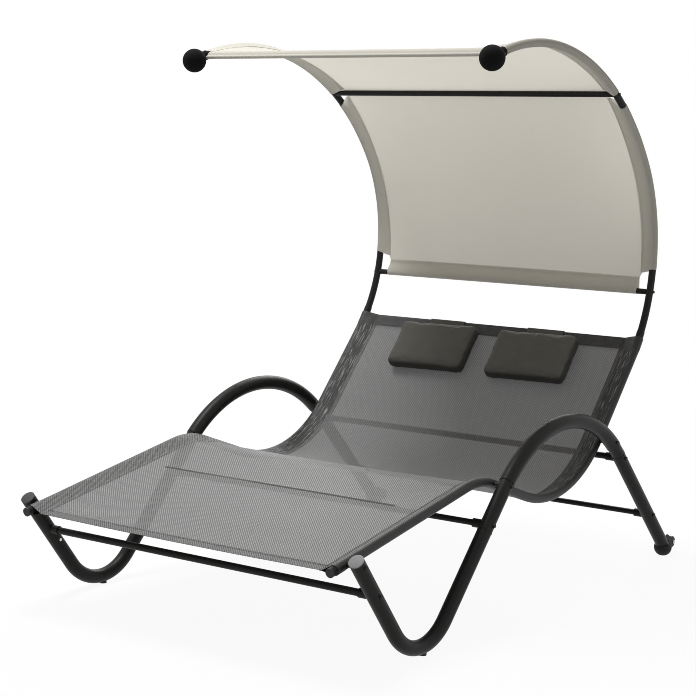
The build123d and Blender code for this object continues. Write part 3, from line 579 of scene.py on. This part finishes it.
def makeSling():
    cut = slingCut
    start, end, ply, bend = (cut[k] for k in ("start", "end", "ply", "foldRadius"))
    # Each level is (place along, how far below the face, growth of the sleeve's ring), from the ply under
    # the foot's hem, round the fold, up the bed and round the fold at the top
    levels = [(start + cut["hemFoot"] * (1 - k / 6) + .001, -ply, 0.0) for k in range(6)]
    fold = len(levels)
    quarters = [math.pi * k / 4 for k in range(1, 4)]
    for a in quarters:
        levels.append((
            start + bend - bend * math.sin(a), -ply * (1 + math.cos(a)) / 2, ply * (1 - math.cos(a)) / 2))
    for s in spread(start + bend, end - bend, round((end - start) / cut["step"])):
        levels.append((s, 0.0, ply * slingHem(s)))
    for a in quarters:
        levels.append((
            end - bend + bend * math.sin(a), -ply * (1 - math.cos(a)) / 2, ply * (1 + math.cos(a)) / 2))
    levels += [(end - cut["hemTop"] * k / 5 - .001, -ply, 0.0) for k in range(6)]
    rows = [slingRow(s, offset, grow) for s, offset, grow in levels]
    for r in range(fold - 2, fold + 2):  # painted shade: the fold itself is painted dark
        rows[r] = [(point, weave, 1, *marks) for point, weave, _, *marks in rows[r]]
    wide = len(rows[0])
    ringFirst, ringLast = 11, 15  # columns round the rail's outer side, counted from the sheet's edge

    def atBolt(r, c):
        column = min(c, wide - 2 - c)
        s = (levels[r][0] + levels[r + 1][0]) / 2
        return ringFirst <= column <= ringLast and any(abs(s - b) < cut["slit"] for b in cut["boltAt"])

    cloth = Cloth()
    cloth.addGrid(rows, atBolt)
    return cloth.finish("sling_cloth", meshCloth)


sling = makeSling()
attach(sling, "frame")
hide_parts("sling")
slingWidth = 2 * (railHalf - slingCut["stitchFoot"]) + 2 * slingCut["sleeveFlat"]
slingLength = slingCut["end"] - slingCut["start"] + slingCut["hemFoot"] + slingCut["hemTop"]
print("sling made: flat", round(slingWidth, 3), "x", round(slingLength, 3))


# Canopy cloth: a panel outside the poles, sleeves sewn to it, and hems round the lower and front bars

hoodCut = {
    "out": -.0118, "ply": .0012, "radius": .0136, "stitchIn": .041, "flap": .006, "sleeveFlat": .165,
    "hemHalf": .540, "frontHalf": .570, "hemUp": .046, "hemEdge": .004, "hemRadius": .0108, "lowShift": -.003,
    "lowHeading": 74.5, "midHeading": 145.8, "frontHeading": 196.84, "ringSteps": 14, "slopeSteps": 5,
    "cornerHeading": 82.6, "notchLow": 141.6, "notchHigh": 146.5, "cornerSlant": .012, "notchSlant": .034,
    "frontSlants": (.002, -.002), "frontRadius": .022, "frontTurn": 55, "frontBar": (-.19521, 1.75121),
    "frontBarRadius": .0059, "frontWrap": 250, "pull": .72, "pullFrom": .05, "outFrom": .06,
    "widensFrom": .045, "narrowsOver": .03, "waveFrom": (.03, .09), "waveTo": .06,
    "fanHeading": 84, "wave": (.0010, .0016, .0004),  # heights of the fan, the slow and the fine waves
    "panelColumns": 48, "step": .011, "dent": .0005,
}


lowBar, midBar, frontBar = (
    route.distanceAt(hoodCut[name]) for name in ("lowHeading", "midHeading", "frontHeading"))
bays = (lowBar, midBar), (midBar, frontBar)


def hoodPull(x, s):
    # Between the bars the cloth is drawn from the poles' arch towards the straight line from bar to bar
    for start, end in bays:
        if start < s < end:
            first, here, last = (route.spot(d, 0, 0) for d in (start, s, end))
            chord = (last - first).normalized()
            height = ((here - first) - chord * (here - first).dot(chord)).length
            leaves = smooth(s, start, start + hoodCut["pullFrom"]) if start == lowBar else 1
            return hoodCut["pull"] * height * leaves * max(0, 1 - (abs(x) / railHalf) ** 4)
    return 0.0


def hoodWave(x, s):
    # Slight tension folds that fan out from the lower corners; flat over the middle bar
    fanHigh, slowHigh, fineHigh = hoodCut["wave"]
    side = 1 - min(1, abs(abs(x) - .50) / .5)
    low = math.exp(-((s - route.distanceAt(hoodCut["fanHeading"])) / .12) ** 2)
    fan = math.sin((abs(x) * 26 + (s - 2) * 38)) * fanHigh * side * low
    slow = slowHigh * noise.noise(Vector((x * 3.1, s * 2.3, 4.2)))
    fine = fineHigh * noise.noise(Vector((x * 11, s * 17, 9.4)))
    inside = 1 - smooth(abs(x), .50, .535)
    atMiddle = math.exp(-((s - midBar) / .05) ** 2)
    return (fan + slow + fine) * inside * (1 - atMiddle)


def hoodPath():
    # (Y, Z) points from the inner hem's edge round the lower bar, up the back and over to the front bar.
    # Those that follow the poles carry their place along as a third number
    cut = hoodCut
    radius, lowShift = cut["hemRadius"], cut["lowShift"]
    path = []

    def follow(s, off):
        place = route.spot(s, 0, off)
        path.append(Vector((place.y, place.z, s)))

    for k in range(5):  # inner ply of the lower hem
        s = lowBar + cut["hemUp"] * (1 - k / 5) + cut["hemEdge"]
        drop = smooth(s, lowBar + cut["hemEdge"], lowBar + cut["hemUp"])
        follow(s, (1 - drop) * (radius - .003) + drop * (cut["out"] + cut["ply"]))
    centre = route.spot(lowBar, 0, lowShift)
    left, up = route.left(cut["lowHeading"]), unit(math.radians(cut["lowHeading"]))
    for k in range(9):
        a = math.pi * k / 8
        path.append(Vector((centre.y, centre.z)) + left * radius * math.cos(a) - up * radius * math.sin(a))
    hemRows = len(path)
    for start, end in bays:
        for s in spread(start, end, round((end - start) / cut["step"]))[1:]:
            blendIn = smooth(s, lowBar, lowBar + cut["outFrom"])
            follow(s, (lowShift - radius) * (1 - blendIn) + cut["out"] * blendIn)
    last, lastHeading = Vector(path[-1][:2]), cut["frontHeading"]
    pivot = last + route.left(lastHeading) * cut["frontRadius"]
    for k in range(1, 7):
        path.append(pivot - route.left(lastHeading + cut["frontTurn"] * k / 6) * cut["frontRadius"])
    bar = Vector(cut["frontBar"])
    fromBar = path[-1] - bar
    startAngle = math.atan2(fromBar.y, fromBar.x)
    for k in range(1, 11):
        a = startAngle + math.radians(cut["frontWrap"]) * k / 10
        path.append(bar + cut["frontBarRadius"] * unit(a))
    return path, hemRows


def hoodPanel(cloth):
    cut = hoodCut
    path, hemRows = hoodPath()
    corner = route.distanceAt(cut["cornerHeading"])
    waveLow, waveHigh = (lowBar + up for up in cut["waveFrom"])
    wide = railHalf - cut["stitchIn"] + .004
    flat = [Vector(place[:2]) for place in path]
    lengths = runs(flat)
    rows = []
    for k, (place, here, along) in enumerate(zip(path, flat, lengths)):
        s = place.z if len(place) == 3 else None
        tangent = (flat[min(k + 1, len(path) - 1)] - flat[max(k - 1, 0)]).normalized()
        across = Vector((-tangent.y, tangent.x))
        inHem = k < hemRows  # the ply turned up inside the lower hem, painted darker as a doubled ply, with a painted highlight line at its edge
        half = cut["hemHalf"] if inHem else cut["frontHalf"]
        if s and not inHem:
            half = cut["hemHalf"] + (wide - cut["hemHalf"]) * smooth(s, lowBar + cut["widensFrom"], corner)
            half += (cut["frontHalf"] - wide) * smooth(s, frontBar - cut["narrowsOver"], frontBar)
        row = []
        for x in spread(-half, half, cut["panelColumns"]):
            wave = 0.0
            if inHem and s:
                wave = -hoodPull(x, s)
            elif s:
                edges = smooth(s, waveLow, waveHigh) * (1 - smooth(s, frontBar - cut["waveTo"], frontBar))
                wave = hoodWave(x, s) * edges + hoodPull(x, s)
            shifted = here + across * wave
            row.append((Vector((x, shifted.x, shifted.y)), (x, along), 0, inHem, k == 0))
        rows.append(row)
    cloth.addGrid(rows, flip=True)
    return lengths[-1]


def hoodSleeve(cloth, side, lowHeading, highHeading, lowSlant, highSlant):
    cut = hoodCut
    low, high = route.distanceAt(lowHeading), route.distanceAt(highHeading)
    seam = railHalf - cut["stitchIn"]
    count = max(4, round((high - low) / cut["step"]))
    rows = []
    for k in range(count + 1):
        level = -cut["out"] + cut["ply"] * .55 - hoodPull(seam, low + (high - low) * k / count)
        section = sleeveSection(cut, cut["radius"], cut["stitchIn"], level, cut["ply"] * 1.1)
        row = []
        for point, (place, run) in enumerate(zip(section, runs(section))):
            inward = smooth(-place.x, -.005, cut["stitchIn"])
            start, end = low - lowSlant * inward, high + highSlant * inward
            s = start + (end - start) * k / count
            dent = cut["dent"] * noise.noise(Vector((place.x * 40, s * 14, side * 3.0)))
            # Painted shade on the sleeve's outer side, and a painted shadow line at its seam edge
            atSeam = point == len(section) - 1
            outwardShade = max(smooth(place.x, -.004, .008), atSeam)
            spot = route.spot(s, side * (railHalf + place.x), -place.y + dent)
            row.append((spot, (side * (seam + run), s), outwardShade, 0, 0))
        rows.append(row)
    cloth.addGrid(rows, flip=side > 0)


def makeHood():
    cut = hoodCut
    cloth = Cloth()
    long = hoodPanel(cloth)
    for side in sides.values():
        hoodSleeve(cloth, side, cut["cornerHeading"], cut["notchLow"], cut["cornerSlant"], cut["notchSlant"])
        hoodSleeve(cloth, side, cut["notchHigh"], cut["frontHeading"], *cut["frontSlants"])
    return cloth.finish("canopy_sheet", hoodFabric), long


hood, hoodLong = makeHood()
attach(hood, "frame")
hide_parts("canopy_cloth")


# Pillows: a boxy stuffed cover, swelled by a short cloth simulation, lying on the sling below the straps

pillowCut = {
    "width": .328, "length": .200, "depth": .050, "edge": .045, "drawIn": .0005, "middle": .212, "askew": 1.0,
    "topIn": .0605, "face": -.0050, "lean": 48.0, "restGap": .0008, "columns": 26, "rows": 16, "layers": 4,
    "voxel": .005, "pressure": 2.5, "frames": 20, "cap": .004, "seed": 5.0,
    "bulge": .0035, "taper": .002, "uneven": .0008, "dent": .0009,
    "corners": (1.82, .18, .030, .045),  # where they begin, how far they reach, and the draw of x and y
}


def pillowPlace():
    # The sling's face at the pillow's top edge, with the way down the slope and the way off the face
    at = route.spot(railTop - pillowCut["topIn"], 0, pillowCut["face"])
    a = math.radians(pillowCut["lean"])
    return at, Vector((0, -math.cos(a), -math.sin(a))), Vector((0, -math.sin(a), math.cos(a)))


def pillowBlank(name, seed):
    # Rounded box in its own measure: across, down the slope and off the face
    cut = pillowCut
    columns, rowsDown, layers = cut["columns"], cut["rows"], cut["layers"]
    cornerFrom, cornerReach, cornerX, cornerY = cut["corners"]
    body = bmesh.new()
    grid = {}
    for layer in range(layers + 1):
        for r in range(rowsDown + 1):
            for c in range(columns + 1):
                if 0 < layer < layers and 0 < r < rowsDown and 0 < c < columns:
                    continue
                u, v, lift = 2 * c / columns - 1, 2 * r / rowsDown - 1, layer / layers
                x = u * (cut["width"] / 2 - cut["drawIn"] * (1 - v * v) * abs(u) ** 3)
                y = v * (cut["length"] / 2 - cut["drawIn"] * (1 - u * u) * abs(v) ** 3)
                crown = (1 - u ** 4) * (1 - v ** 4)
                z = lift * (cut["edge"] + (cut["depth"] - cut["edge"]) * crown)
                # The sides bulge, and the corners are drawn in
                inset = cut["bulge"] * (2 * lift - 1) ** 4 + cut["taper"] * lift
                far = max(abs(u), abs(v)) ** 8
                x -= math.copysign(inset * far, u) * abs(u) ** 4
                y -= math.copysign(inset * far, v) * abs(v) ** 4
                corner = max(0, abs(u) + abs(v) - cornerFrom) / cornerReach
                x, y = x * (1 - cornerX * corner), y * (1 - cornerY * corner)
                x += cut["uneven"] * noise.noise(Vector((u * 3, v * 3, seed)))
                grid[layer, r, c] = body.verts.new((x, y + cut["length"] / 2, z))

    def addQuad(turn, *corners):
        body.faces.new([grid[corner] for corner in corners][::turn])

    for layer, turn in ((0, -1), (layers, 1)):
        for r in range(rowsDown):
            for c in range(columns):
                addQuad(turn, (layer, r, c), (layer, r, c + 1), (layer, r + 1, c + 1), (layer, r + 1, c))
    for layer in range(layers):
        above = layer + 1
        for c in range(columns):
            for r, turn in ((0, 1), (rowsDown, -1)):
                addQuad(turn, (layer, r, c), (layer, r, c + 1), (above, r, c + 1), (above, r, c))
        for r in range(rowsDown):
            for c, turn in ((0, -1), (columns, 1)):
                addQuad(turn, (layer, r, c), (layer, r + 1, c), (above, r + 1, c), (above, r, c))
    mesh = bpy.data.meshes.new(name)
    body.normal_update()
    body.to_mesh(mesh)
    body.free()
    return linked(name, mesh)


def applied(piece):
    # The piece's mesh as its modifiers leave it
    graph = bpy.context.evaluated_depsgraph_get()
    mesh = bpy.data.meshes.new_from_object(piece.evaluated_get(graph))
    piece.modifiers.clear()
    piece.data = mesh


def swell(piece):
    cut = pillowCut
    remesh = piece.modifiers.new("remesh", "REMESH")
    remesh.mode, remesh.voxel_size = "VOXEL", cut["voxel"]
    applied(piece)
    before = [v.co.copy() for v in piece.data.vertices]
    cloth = piece.modifiers.new("cloth", "CLOTH")
    cloth.settings.use_pressure = True
    cloth.settings.uniform_pressure_force = cut["pressure"]
    cloth.settings.effector_weights.gravity = 0
    cloth.settings.quality = 6
    cloth.point_cache.frame_start, cloth.point_cache.frame_end = 1, cut["frames"]
    for number in range(1, cut["frames"] + 1):
        bpy.context.scene.frame_set(number)
    applied(piece)
    bpy.context.scene.frame_set(1)
    for vertex, old in zip(piece.data.vertices, before):
        move = vertex.co - old
        if move.length > cut["cap"]:
            vertex.co = old + move * (cut["cap"] / move.length)
        # The back and the top side stay flat, so that the pillow clears the strap when it flips
        vertex.co.y, vertex.co.z = max(vertex.co.y, 0), max(vertex.co.z, 0)


def makePillow(name, side):
    cut = pillowCut
    seed = cut["seed"] + side
    piece = pillowBlank(name, seed)
    swell(piece)
    origin, down, off = pillowPlace()
    lie = Matrix.Rotation(math.radians(-cut["askew"]), 4, Vector((0, 0, 1)))
    edge = piece.data.attributes.new("edge", "FLOAT", "POINT")  # the band round the sides, painted dark as shade
    for vertex in piece.data.vertices:
        x, y, z = lie @ vertex.co
        edge.data[vertex.index].value = 1 - smooth(z, cut["edge"] - .012, cut["edge"] - .001)
        dent = cut["dent"] * noise.noise(Vector((x * 16, y * 16, seed))) * smooth(z, .02, .035)
        across = Vector((side * cut["middle"] + x, 0, 0))
        vertex.co = origin + across + down * y + off * (z + dent + cut["restGap"])
    piece.data.materials.clear()
    piece.data.materials.append(pillowFabric)
    piece.data.shade_smooth()
    finer = piece.modifiers.new("finer", "SUBSURF")
    finer.levels = finer.render_levels = 1
    body = "pillow_" + ("right" if side > 0 else "left")
    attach(piece, body)
    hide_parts(body)


for word, side in sides.items():
    makePillow("headrest_" + word, side)
print("pillows made")


# Straps: each folds over the sling's top edge and hangs down behind it

strapCut = {
    "width": .152, "thickness": .0009, "gap": .0004, "front": .0370, "back": .069, "past": .0005,
    "columns": 16, "wave": .0010,
}


def makeStrap(name, side):
    cut = strapCut
    edge = slingCut["end"]
    high = pillowCut["face"] + cut["gap"] + .0006
    low = slingCut["level"] - slingCut["ply"] - cut["gap"] - .0008
    middle, radius = (high + low) / 2, (high - low) / 2
    path = [(edge - cut["front"] * (1 - k / 8), high) for k in range(9)]
    for k in range(1, 9):
        a = math.pi / 2 - math.pi * k / 8
        path.append((edge + cut["past"] + radius * math.cos(a), middle + radius * math.sin(a)))
    path += [(edge - cut["back"] * k / 12, low) for k in range(1, 13)]
    rows = []
    left = side * pillowCut["middle"] - cut["width"] / 2
    for (s, off), along in zip(path, runs([Vector(place) for place in path])):
        row = []
        for x in spread(left, left + cut["width"], cut["columns"]):
            wave = cut["wave"] * noise.noise(Vector((x * 22, s * 18, side * 2.0)))
            wave = abs(wave) * .3 if off > middle else -abs(wave) * 2.2 * smooth(edge - s, .01, .06)
            row.append((route.spot(s, x, off + wave), (x, along)))
        rows.append(row)
    cloth = Cloth()
    cloth.addGrid(rows)
    piece = cloth.finish(name, pillowFabric, cut["thickness"])
    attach(piece, "frame")
    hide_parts("pillow_strap_" + ("right" if side > 0 else "left"))
    return along


for word, side in sides.items():
    strapLong = makeStrap("strap_" + word, side)
print("straps made:", round(strapLong, 4), "m long")


# Geometry Nodes: stitches along seam lines, and rings at stations

class GeoTree(NodeTree):
    def __init__(self, name, inputs):
        super().__init__(bpy.data.node_groups.new(name, "GeometryNodeTree"))
        face = self.tree.interface
        face.new_socket("Geometry", in_out="INPUT", socket_type="NodeSocketGeometry")
        for label, kind in inputs.items():
            face.new_socket(label, in_out="INPUT", socket_type=kind)
        face.new_socket("Geometry", in_out="OUTPUT", socket_type="NodeSocketGeometry")
        self.entry = self.tree.nodes.new("NodeGroupInput")
        self.exit = self.tree.nodes.new("NodeGroupOutput")

    def given(self, label):
        return Wire(self, self.entry.outputs[label])

    def deliver(self, geometry, material):
        real = self.node("GeometryNodeRealizeInstances", {0: geometry})
        painted = self.node("GeometryNodeSetMaterial", {"Geometry": real, "Material": material})
        self.join(painted, self.exit.inputs[0])

    def grow(self, piece, values):
        # Runs the tree on a piece and keeps the result as its plain mesh
        modifier = piece.modifiers.new("tree", "NODES")
        modifier.node_group = self.tree
        for item in self.tree.interface.items_tree:
            if item.in_out == "INPUT" and item.name in values:
                modifier[item.identifier] = values[item.name]
        piece.update_tag()
        applied(piece)
        piece.data.shade_smooth()


def stitchTree():
    tree = GeoTree("stitchRow", {
        "Pitch": "NodeSocketFloat", "Length": "NodeSocketFloat", "Thickness": "NodeSocketFloat",
        "Material": "NodeSocketMaterial"})
    line = tree.node("GeometryNodeMeshToCurve", {0: tree.given("Geometry")})
    spaced = tree.node(
        "GeometryNodeResampleCurve", {"Curve": line, "Length": tree.given("Pitch")}, mode="LENGTH")
    aim = tree.node(
        "FunctionNodeAlignRotationToVector", {"Vector": tree.node("GeometryNodeInputTangent")}, axis="Z")
    bead = tree.node("GeometryNodeMeshUVSphere", {"Segments": 5, "Rings": 4, "Radius": 1.0})
    size = tree.node("ShaderNodeCombineXYZ", {
        "X": tree.given("Thickness"), "Y": tree.given("Thickness"), "Z": tree.given("Length")})
    row = tree.node("GeometryNodeInstanceOnPoints", {
        "Points": spaced, "Instance": bead, "Rotation": aim, "Scale": size})
    tree.deliver(row, tree.given("Material"))
    return tree


def ringTree():
    tree = GeoTree("seamRing", {
        "Thickness": "NodeSocketFloat", "Sides": "NodeSocketInt", "Material": "NodeSocketMaterial"})
    radius = tree.node("GeometryNodeInputNamedAttribute", {"Name": "radius"}, data_type="FLOAT")
    way = tree.node("GeometryNodeInputNamedAttribute", {"Name": "way"}, data_type="FLOAT_VECTOR")
    aim = tree.node("FunctionNodeAlignRotationToVector", {"Vector": way}, axis="Z")
    circle = tree.node("GeometryNodeCurvePrimitiveCircle", {
        "Resolution": tree.given("Sides"), "Radius": 1.0})
    hoops = tree.node("GeometryNodeInstanceOnPoints", {
        "Points": tree.given("Geometry"), "Instance": circle, "Rotation": aim, "Scale": radius})
    real = tree.node("GeometryNodeRealizeInstances", {0: hoops})
    profile = tree.node("GeometryNodeCurvePrimitiveCircle", {
        "Resolution": 8, "Radius": tree.given("Thickness")})
    bead = tree.node("GeometryNodeCurveToMesh", {"Curve": real, "Profile Curve": profile})
    tree.deliver(bead, tree.given("Material"))
    return tree


stitches, rings = stitchTree(), ringTree()


def stitched(name, lines, material, seam):
    points, edges = [], []
    for line in lines:
        first = len(points)
        points += line
        edges += [(first + k, first + k + 1) for k in range(len(line) - 1)]
    mesh = bpy.data.meshes.new(name)
    mesh.from_pydata(points, edges, [])
    piece = linked(name, mesh)
    stitches.grow(piece, {
        "Pitch": seam["pitch"], "Length": seam["length"] / 2, "Thickness": seam["thickness"] / 2,
        "Material": material})
    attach(piece, "frame")
    return piece


def acrossLine(s, half, off):
    return [route.spot(s, x, off + slingSag(x, s)) for x in spread(-half, half, 60)]


slingSeams = {
    "pitch": .0052, "length": .0040, "thickness": .0013, "proud": .0004, "insets": (.001, .006), "ends": .004,
    "foot": (.031, .036), "top": (.041, .046),
}
top = slingCut["level"] + slingSeams["proud"]
slingEnds = slingCut["start"], slingCut["end"]
slingLines = []
for side in sides.values():
    for inset in slingSeams["insets"]:
        places = spread(slingEnds[0] + slingSeams["ends"], slingEnds[1] - slingSeams["ends"], 220)
        slingLines.append([
            route.spot(s, side * (railHalf - slingStitchIn(s) - inset), top) for s in places])
seamsAcross = [slingEnds[0] + up for up in slingSeams["foot"]]
seamsAcross += [slingEnds[1] - down for down in slingSeams["top"]]
for s in seamsAcross:
    slingLines.append(acrossLine(s, railHalf - slingStitchIn(s) - slingSeams["ends"], top))
slingStitches = stitched("sling_stitches", slingLines, darkThread, slingSeams)

# A painted shadow line across the seat, where the middle crossbar shows through the cloth: three close rows
# of coarse dark thread
shadowLineBeads = {
    "pitch": .0062, "length": .0068, "thickness": .0036, "half": .457, "apart": .0040, "sunk": .0008,
}
coarseLines = []
for k in (-1, 0, 1):
    s = slingCut["crossbarShadowLine"] + k * shadowLineBeads["apart"]
    coarseLines.append(acrossLine(s, shadowLineBeads["half"], top - shadowLineBeads["sunk"]))
crossbarShadowLine = stitched("crossbar_shadow_line", coarseLines, darkThread, shadowLineBeads)

hoodSeams = {
    "pitch": .0046, "length": .0034, "thickness": .0007, "beside": .002, "faces": (.0022, -.0008),
    "hemRises": (.0430, .0475), "hemFaces": (.0020, -.0009), "hemHalf": .535, "step": .01,
    "spans": (  # headings between which each sleeve is sewn
        (hoodCut["cornerHeading"] + .2, hoodCut["notchLow"] - .2),
        (hoodCut["notchHigh"] + .2, hoodCut["frontHeading"] - .3),
    ),
}
hoodLines = []
hoodStitchX = railHalf - hoodCut["stitchIn"]
for side in sides.values():
    x = side * (hoodStitchX + hoodSeams["beside"])
    for span in hoodSeams["spans"]:
        low, high = (route.distanceAt(heading) for heading in span)
        for face in hoodSeams["faces"]:
            hoodLines.append([
                route.spot(s, x, hoodCut["out"] + face + hoodPull(hoodStitchX, s))
                for s in spread(low, high, round((high - low) / hoodSeams["step"]))])
for rise in hoodSeams["hemRises"]:
    s = lowBar + rise
    for face in hoodSeams["hemFaces"]:
        hoodLines.append([
            route.spot(s, x, hoodCut["out"] + face + hoodPull(x, s))
            for x in spread(-hoodSeams["hemHalf"], hoodSeams["hemHalf"], 60)])
hoodStitches = stitched("canopy_stitches", hoodLines, paleThread, hoodSeams)
print("stitches made:", len(slingLines) + len(hoodLines), "rows")


# Dark rings where the tubes meet, painted as the shadow in each joint

seamRings = {
    # (Y, Z), heading of the tube and its radius at the lower, the upper and the rear seam
    "seams": (
        ((-.29545, .30943), 46.8, .0230), ((-.17215, .43938), 43.4, .0231), ((.56558, .42328), -45.9, .0231)),
    "frameHalf": .640, "sides": 48, "ring": .0011, "rim": .0009, "rimDown": .0024,
}


def ringPiece(name, stations, thickness, material):
    mesh = bpy.data.meshes.new(name)
    mesh.from_pydata([s[0] for s in stations], [], [])
    size = mesh.attributes.new("radius", "FLOAT", "POINT")
    way = mesh.attributes.new("way", "FLOAT_VECTOR", "POINT")
    for k, (place, aim, radius) in enumerate(stations):
        size.data[k].value = radius
        way.data[k].vector = aim
    piece = linked(name, mesh)
    rings.grow(piece, {"Thickness": thickness, "Sides": seamRings["sides"], "Material": material})
    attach(piece, "frame")
    return piece


def makeSeamRings():
    cut = seamRings
    stations = []
    for side in sides.values():
        for (y, z), heading, radius in cut["seams"]:
            a = math.radians(heading)
            place, way = Vector((side * cut["frameHalf"], y, z)), Vector((0, math.cos(a), math.sin(a)))
            stations.append((place, way, radius))
    # Painted shadow: a thin dark ring in each joint
    ringPiece("seam_shadow_rings", stations, cut["ring"], plastic)
    # The lower tube's rim, which catches the light
    rims = [(place - way * cut["rimDown"], way, radius) for place, way, radius in stations]
    ringPiece("seam_rims", rims, cut["rim"], coat)


makeSeamRings()
print("rings made")


# Camera at the photograph's angle

cameraSetup = {
    "place": (3.4136, -4.8399, 1.5426), "turn": 35.997, "tilt": 83.841, "roll": .928,
    "lens": 91.87, "shiftUp": -35 / 696,
}


def makeCamera():
    setup = cameraSetup
    camera = linked("camera", bpy.data.cameras.new("camera"))
    camera.data.lens, camera.data.sensor_width = setup["lens"], 36
    camera.data.shift_y = setup["shiftUp"]
    camera.matrix_world = (
        Matrix.Translation(setup["place"]) @ Matrix.Rotation(math.radians(setup["turn"]), 4, "Z")
        @ Matrix.Rotation(math.radians(setup["tilt"]), 4, "X")
        @ Matrix.Rotation(math.radians(setup["roll"]), 4, "Z"))
    bpy.context.scene.camera = camera


lightSetup = {
    "world": .34,
    "lamps": (
        # name, place, aim, size, watts
        ("overhead", (-1.6, -.35, 6.2), (0, -.2, .5), 2.3, 335),
        ("behind", (-1.6, 3.6, 2.8), (0, .4, 1.3), 2.4, 80),
        ("beside", (4.6, .3, 1.3), (.6, 0, .5), 2.2, 18),
    ),
}


def makeLights():
    for name, place, aim, size, watts in lightSetup["lamps"]:
        data = bpy.data.lights.new(name, "AREA")
        data.shape, data.size, data.energy = "SQUARE", size, watts
        lamp = linked(name, data)
        lamp.location = place
        lamp.rotation_euler = (Vector(aim) - Vector(place)).to_track_quat("-Z", "Y").to_euler()
    world = bpy.data.worlds.new("studio")
    bpy.context.scene.world = world
    world.use_nodes = True
    tree = NodeTree(world.node_tree)
    tree.tree.nodes.clear()
    light = tree.node("ShaderNodeBackground", {
        "Color": rgb(1, 1, 1), "Strength": lightSetup["world"]})
    white = tree.node("ShaderNodeBackground", {"Color": rgb(1, 1, 1), "Strength": 1.0})
    mixed = tree.node("ShaderNodeMixShader", {0: seenDirectly(tree), 1: light, 2: white})
    tree.node("ShaderNodeOutputWorld", {"Surface": mixed})


def seenDirectly(tree):
    # 1 for rays from the camera, off gloss and through glass
    camera, gloss, glass = (
        tree.node("ShaderNodeLightPath", output=f"Is {kind} Ray")
        for kind in ("Camera", "Glossy", "Transmission"))
    return tree.math("MAXIMUM", tree.math("MAXIMUM", camera, gloss), glass)


floorSetup = {"half": 14, "colour": rgb(.8, .8, .8), "near": .93, "fade": (.25, .8), "fadeScale": .2}


def makeFloor():
    finish = Finish("paleFloor")
    setup = floorSetup
    pale = finish.principled(Base_Color=setup["colour"], Roughness=.9, Specular_IOR_Level=.2)
    white = finish.node("ShaderNodeEmission", {"Color": rgb(1, 1, 1), "Strength": 1.0})
    away = finish.node("ShaderNodeVectorMath", {0: finish.place}, "Value", operation="LENGTH")
    fadeFrom, fadeTo = setup["fade"]  # the white takes over away from the object
    far = finish.ramp(away * setup["fadeScale"], (fadeFrom, 0), (fadeTo, 1))
    share = seenDirectly(finish) * (far * (1 - setup["near"]) + setup["near"])
    material = finish.show(finish.node("ShaderNodeMixShader", {0: share, 1: pale, 2: white}))
    half = setup["half"]
    corners = [(-half, -half, 0), (half, -half, 0), (half, half, 0), (-half, half, 0)]
    floor = newPiece("floor", corners, [(0, 1, 2, 3)], material)


makeCamera()
makeLights()
makeFloor()
bpy.context.scene.view_settings.view_transform = "Standard"
bpy.context.scene.cycles.filter_width = .9  # a crisp lens, so that the weave shows
print("camera, lamps and floor made")
